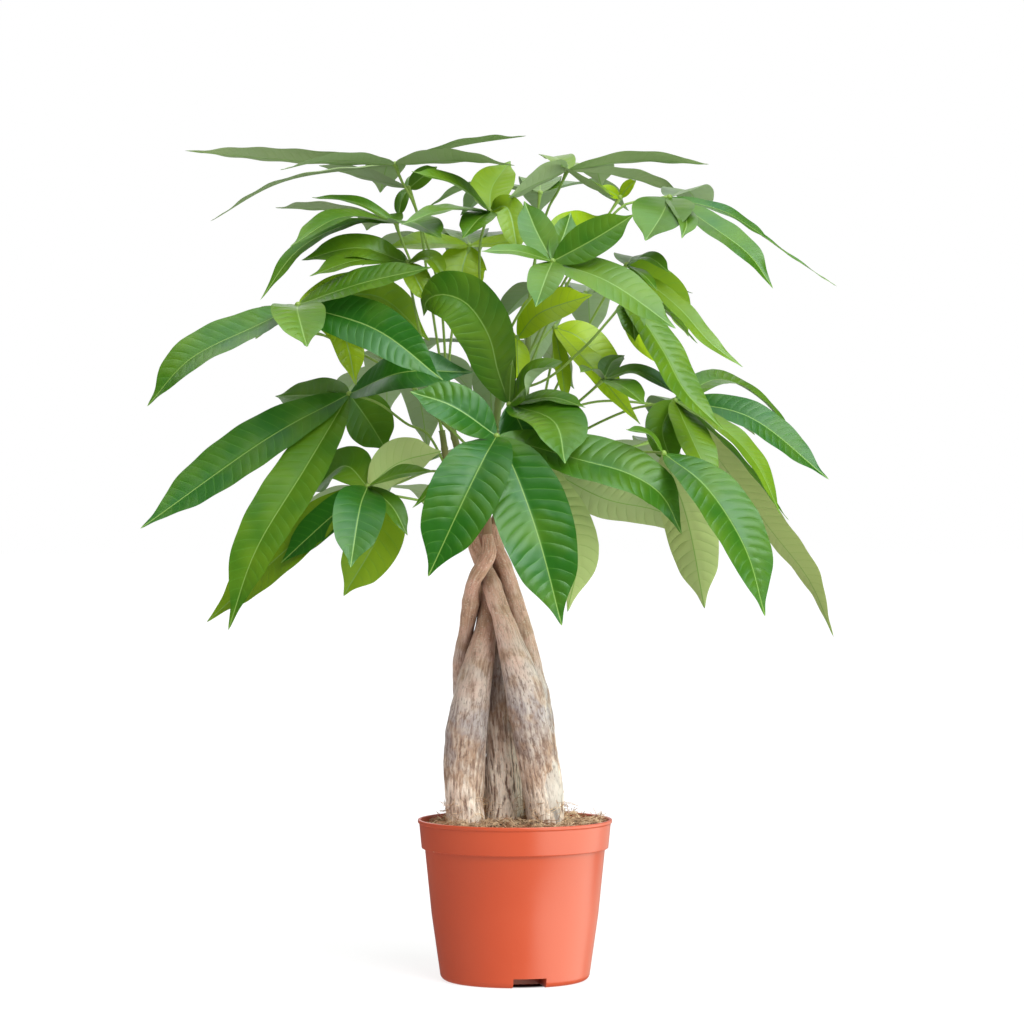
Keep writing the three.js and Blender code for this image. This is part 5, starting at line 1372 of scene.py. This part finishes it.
# %% Soil finishes
def soil_finish():
    finish = Finish("soil")
    crumbs = finish.noise(finish.place, 260.0, 5.0)
    clumps = finish.noise(finish.place, 60.0, 2.0)
    colour = finish.mix(crumbs.rise(0.4, 0.7), (0.05, 0.026, 0.016), (0.28, 0.15, 0.08))
    colour = finish.mix(clumps.rise(0.5, 0.7) * 0.6, colour, (0.42, 0.24, 0.13))
    return finish.plain(colour, 0.95, finish.dented(crumbs, 0.002))


def fibre_finish():
    finish = Finish("coconut_fibre")
    tints = finish.noise(finish.place, 95.0, 1.0)
    return finish.plain(finish.mix(tints.rise(0.35, 0.65), (0.34, 0.16, 0.075), (0.92, 0.68, 0.44)), 0.8)


soil_brown = soil_finish()
fibre_tan = fibre_finish()

# %% [markdown]
# The soil fills the pot like a cast of its inside. It is turned from a profile too, with many
# rings on top. Noise then moves the top up and down in clods and crumbs, and the whole of it
# rises a little to the right, as in the photograph. It moves least at the edge, by the wall.

# %% Soil surface
SOIL_TOP = 0.134
SOIL_HEAP = 0.003
SOIL_SLOPE = 0.025
SOIL_EDGE = 0.0797
SOIL_GAP = 0.0005
SOIL_SIDES = 120
SOIL_RINGS = 36
CRUMB_HEIGHT = 0.0022
CRUMB_SCALE = 260
CRUMB_LAYER = 3  # the level of the noise at which the crumbs are read, apart from the clods
CLOD_SCALE = 70
CLOD_SHARE = 1.5
TINY = 1e-5


def soil_mesh():
    inset = POT_WALL + SOIL_GAP
    bottom = POT_FLOOR + DRAIN_HEIGHT + SOIL_GAP
    profile = [
        (0, bottom),
        (FOOT_RADIUS - inset, bottom),
        (WALL_TOP_RADIUS - inset, COLLAR_FOOT),
        (COLLAR_FOOT_RADIUS - inset, COLLAR_FOOT + inset),
        *((SOIL_EDGE * (1 - i / SOIL_RINGS), SOIL_TOP) for i in range(SOIL_RINGS + 1)),
    ]
    mesh = turned("soil_surface", profile, SOIL_SIDES)
    for spot in mesh.vertices:
        x, y, z = spot.co
        if z < SOIL_TOP - TINY:
            continue
        rest = 1 - (math.hypot(x, y) / RIM_RADIUS) ** 4
        clod = noise.noise(Vector((x, y, 0)) * CLOD_SCALE) * CLOD_SHARE
        lump = clod + noise.noise(Vector((x, y, CRUMB_LAYER)) * CRUMB_SCALE)
        spot.co.z = SOIL_TOP + rest * (SOIL_HEAP + SOIL_SLOPE * x + CRUMB_HEIGHT * lump)
    mesh.materials.append(soil_brown)
    mesh.shade_smooth()
    return mesh


soil = shown("soil_surface", soil_mesh())
settle(soil, ["soil"])

# %% [markdown]
# Loose fibres cover the soil and the feet of the stems. Geometry nodes scatter them: a straight
# line stands on each scattered point, and noise at its real place bends it, so no two fibres are
# alike. The same tree does both, with other sizes for the stems. It only grows fibres between two
# heights, which keeps them on the soil's top and on the lowest bark.

# %% The tree that scatters fibres
FIBRE_SIZES = {
    "Per square metre": 60000.0,
    "Longest": 0.026,
    "Radius": 0.00027,
    "Bend": 0.011,
    "Lift": 0.75,
    "Above": 0.128,
    "Below": 0.150,
    "Seed": 5,
}
ROOT_FIBRE_SIZES = {
    "Per square metre": 36000.0,
    "Longest": 0.024,
    "Radius": 0.0002,
    "Bend": 0.012,
    "Lift": 1.6,
    "Above": 0.134,
    "Below": 0.156,
}
FIBRE_POINTS = 9
FIBRE_SIDES = 3
SHORTEST_SHARE = 0.35
BEND_SCALE = 55.0
BEND_MIDDLE = (0.5, 0.5, 0.42)  # below the noise's own middle in height, so that fibres rise


def fibre_tree():
    tree = Grower("fibres", FIBRE_SIZES)
    size = tree.given.out
    place = tree.add("InputPosition")
    _, _, height = place.split()

    def drawn(low, high, shift):
        return tree.add("RandomValue", {"Min": low, "Max": high, "Seed": size("Seed") + shift})

    spots = tree.add("DistributePointsOnFaces", {
        "Mesh": size("Geometry"),
        "Density": size("Per square metre"),
        "Selection": (height > size("Above")) * (size("Below") > height),
        "Seed": size("Seed"),
    })
    line = tree.add("CurvePrimitiveLine", {"Start": (-0.5, 0, 0), "End": (0.5, 0, 0)})
    pitch = drawn(-1, 1, 1) * drawn(0, 1, 2) * size("Lift")
    fibres = tree.add("InstanceOnPoints", {
        "Points": spots,
        "Instance": tree.add("ResampleCurve", {"Curve": line, "Count": FIBRE_POINTS}),
        "Rotation": tree.add("EulerToRotation", {0: tree.join(0, pitch, drawn(0, 2 * math.pi, 3))}),
        "Scale": drawn(SHORTEST_SHARE, 1, 4) * size("Longest"),
    })
    drift = tree.noise(place, BEND_SCALE, 1.0).out("Color").vector("SUBTRACT", BEND_MIDDLE)
    fibres = tree.moved(tree.realized(fibres), {"Offset": drift.vector("SCALE", size("Bend") * 2)})
    tubes = tree.swept(fibres, tree.ring(FIBRE_SIDES), size("Radius"))
    return tree.finish(tree.painted(tree.realized(tree.smoothed(tubes)), fibre_tan))

# %% [markdown]
# The fibres may not stick out through the pot, so what reaches too far is drawn back inside. The
# two new pieces stand for no solids of their own: the soil and the stems are already there.

# %% Scatter the fibres
def held_in(mesh, radius, low):
    """Draws what reaches past the pot's inner wall back inside it."""
    for spot in mesh.vertices:
        reach = math.hypot(spot.co.x, spot.co.y)
        if reach > radius:
            spot.co.x *= radius / reach
            spot.co.y *= radius / reach
        spot.co.z = max(spot.co.z, low)


def stem_feet():
    """The skins of all the stems in one mesh."""
    shape = bmesh.new()
    for name in STEMS:
        shape.from_mesh(bpy.data.objects[name + "_bark"].data)
    return to_mesh("stem_feet", shape)


scatter = fibre_tree()
for name, base, sizes, slot in (
    ("coconut_fibre", soil.data.copy(), {}, "soil"),
    ("root_fibre", stem_feet(), ROOT_FIBRE_SIZES, "bark"),
):
    fibres = grown(name, base, scatter, sizes)
    held_in(fibres.data, INNER_RIM - SOIL_GAP, COLLAR_FOOT)
    settle(fibres, [])

# %% [markdown]
# The plant stands on a plain pale floor, which glows so that it is as blank as the photograph's
# background. Under the pot a shadow is painted: there the floor is dark and doesn't glow.

# %% Floor
FLOOR_HALF = 30.0
FLOOR_GREY = (0.28, 0.28, 0.28)
FLOOR_GLOW = 0.78
SHADE_BROWN = (0.04, 0.02, 0.02)
SHADE_REACH = (0.050, 0.062)
BLACK = (0, 0, 0)
WHITE = (1, 1, 1)


def paper_finish():
    finish = Finish("pale_floor")
    x, y, _ = finish.place.split()
    # Painted shadow under the pot: the floor there is dark brown and doesn't glow.
    open_floor = (x * x + y * y).math("SQRT").rise(*SHADE_REACH)
    return finish.done(finish.surface({
        "Base Color": finish.mix(open_floor, SHADE_BROWN, FLOOR_GREY),
        "Roughness": 0.9,
        "Specular IOR Level": 0.0,
        "Emission Color": finish.mix(open_floor, BLACK, WHITE),
        "Emission Strength": FLOOR_GLOW,
    }))


floor_mesh = bpy.data.meshes.new("floor")
corners = [(x * FLOOR_HALF, y * FLOOR_HALF, 0) for x, y in ((-1, -1), (1, -1), (1, 1), (-1, 1))]
floor_mesh.from_pydata(corners, [], [(0, 1, 2, 3)])
floor_mesh.materials.append(paper_finish())
floor = shown("floor", floor_mesh)
floor.visible_glossy = False
floor.visible_shadow = False

# %% [markdown]
# The light is soft. A broad sun in front on the right shapes the plant, and a weaker one from
# behind lights the blades through. A wide lamp on the right is what the pot mirrors as its pale
# right half, and it reaches below the floor because the pot's wall leans out. Two lamps overhead
# put the sheen on the leaves. The window and the rim lamp only show in reflections. The sky is
# white to the eye, for the blank background.

# %% Lamps and sky
SKY_LIGHT = 0.15


def lamp(name, kind, place, target, power, **settings):
    """A light that shines from its place towards a target."""
    data = bpy.data.lights.new(name, kind)
    data.energy = power
    for key, value in settings.items():
        setattr(data, key, value)
    light = shown(name, data)
    light.location = place
    light.rotation_euler = (Vector(target) - Vector(place)).to_track_quat("-Z", "Y").to_euler()
    return light


def panel(name, place, target, power, width, height, colour=WHITE):
    sides = {"shape": "RECTANGLE", "size": width, "size_y": height}
    return lamp(name, "AREA", place, target, power, color=colour, **sides)


def white_sky():
    """The sky is dimmer as a light than to the eye, so that the lamps still shape the plant."""
    world = bpy.data.worlds.new("white_sky")
    world.use_nodes = True
    maker = Maker(world.node_tree)
    maker.tree.nodes.clear()
    strength = maker.add("LightPath", None, "Is Camera Ray") * (1 - SKY_LIGHT) + SKY_LIGHT
    sky = maker.add("Background", {"Color": (*WHITE, 1), "Strength": strength})
    maker.add("OutputWorld", {"Surface": sky})
    return world


lamp("key", "SUN", (1.1, -1.7, 1.9), (0, 0, 0), 3.3, angle=math.radians(40))
lamp("behind", "SUN", (-0.5, 2.0, 1.8), (0, 0, 0), 1.2, angle=math.radians(60))
panel("softbox", (1.57, -0.42, -0.15), (0, 0, 0.05), 43, 3.6, 1.6, (0.74, 1.0, 0.9))
panel("overhead", (-0.4, -0.6, 2.6), (0, 0, 0.5), 26, 2.2, 2.2)
window = panel("window", (0.5, 0.0, 2.6), (0, 0, 0.5), 26, 1.6, 1.6, (0.75, 0.95, 1.0))
rim = panel("rim", (2.1, 2.9, 0.0), (0, 0, 0.07), 10, 2.6, 1.6, (0.8, 1.0, 0.9))
for light in (window, rim):
    light.visible_diffuse = False

bpy.context.scene.world = white_sky()
bpy.context.scene.view_settings.view_transform = "Standard"
print("The plant is lit by", len(bpy.data.lights), "lights and a white sky")
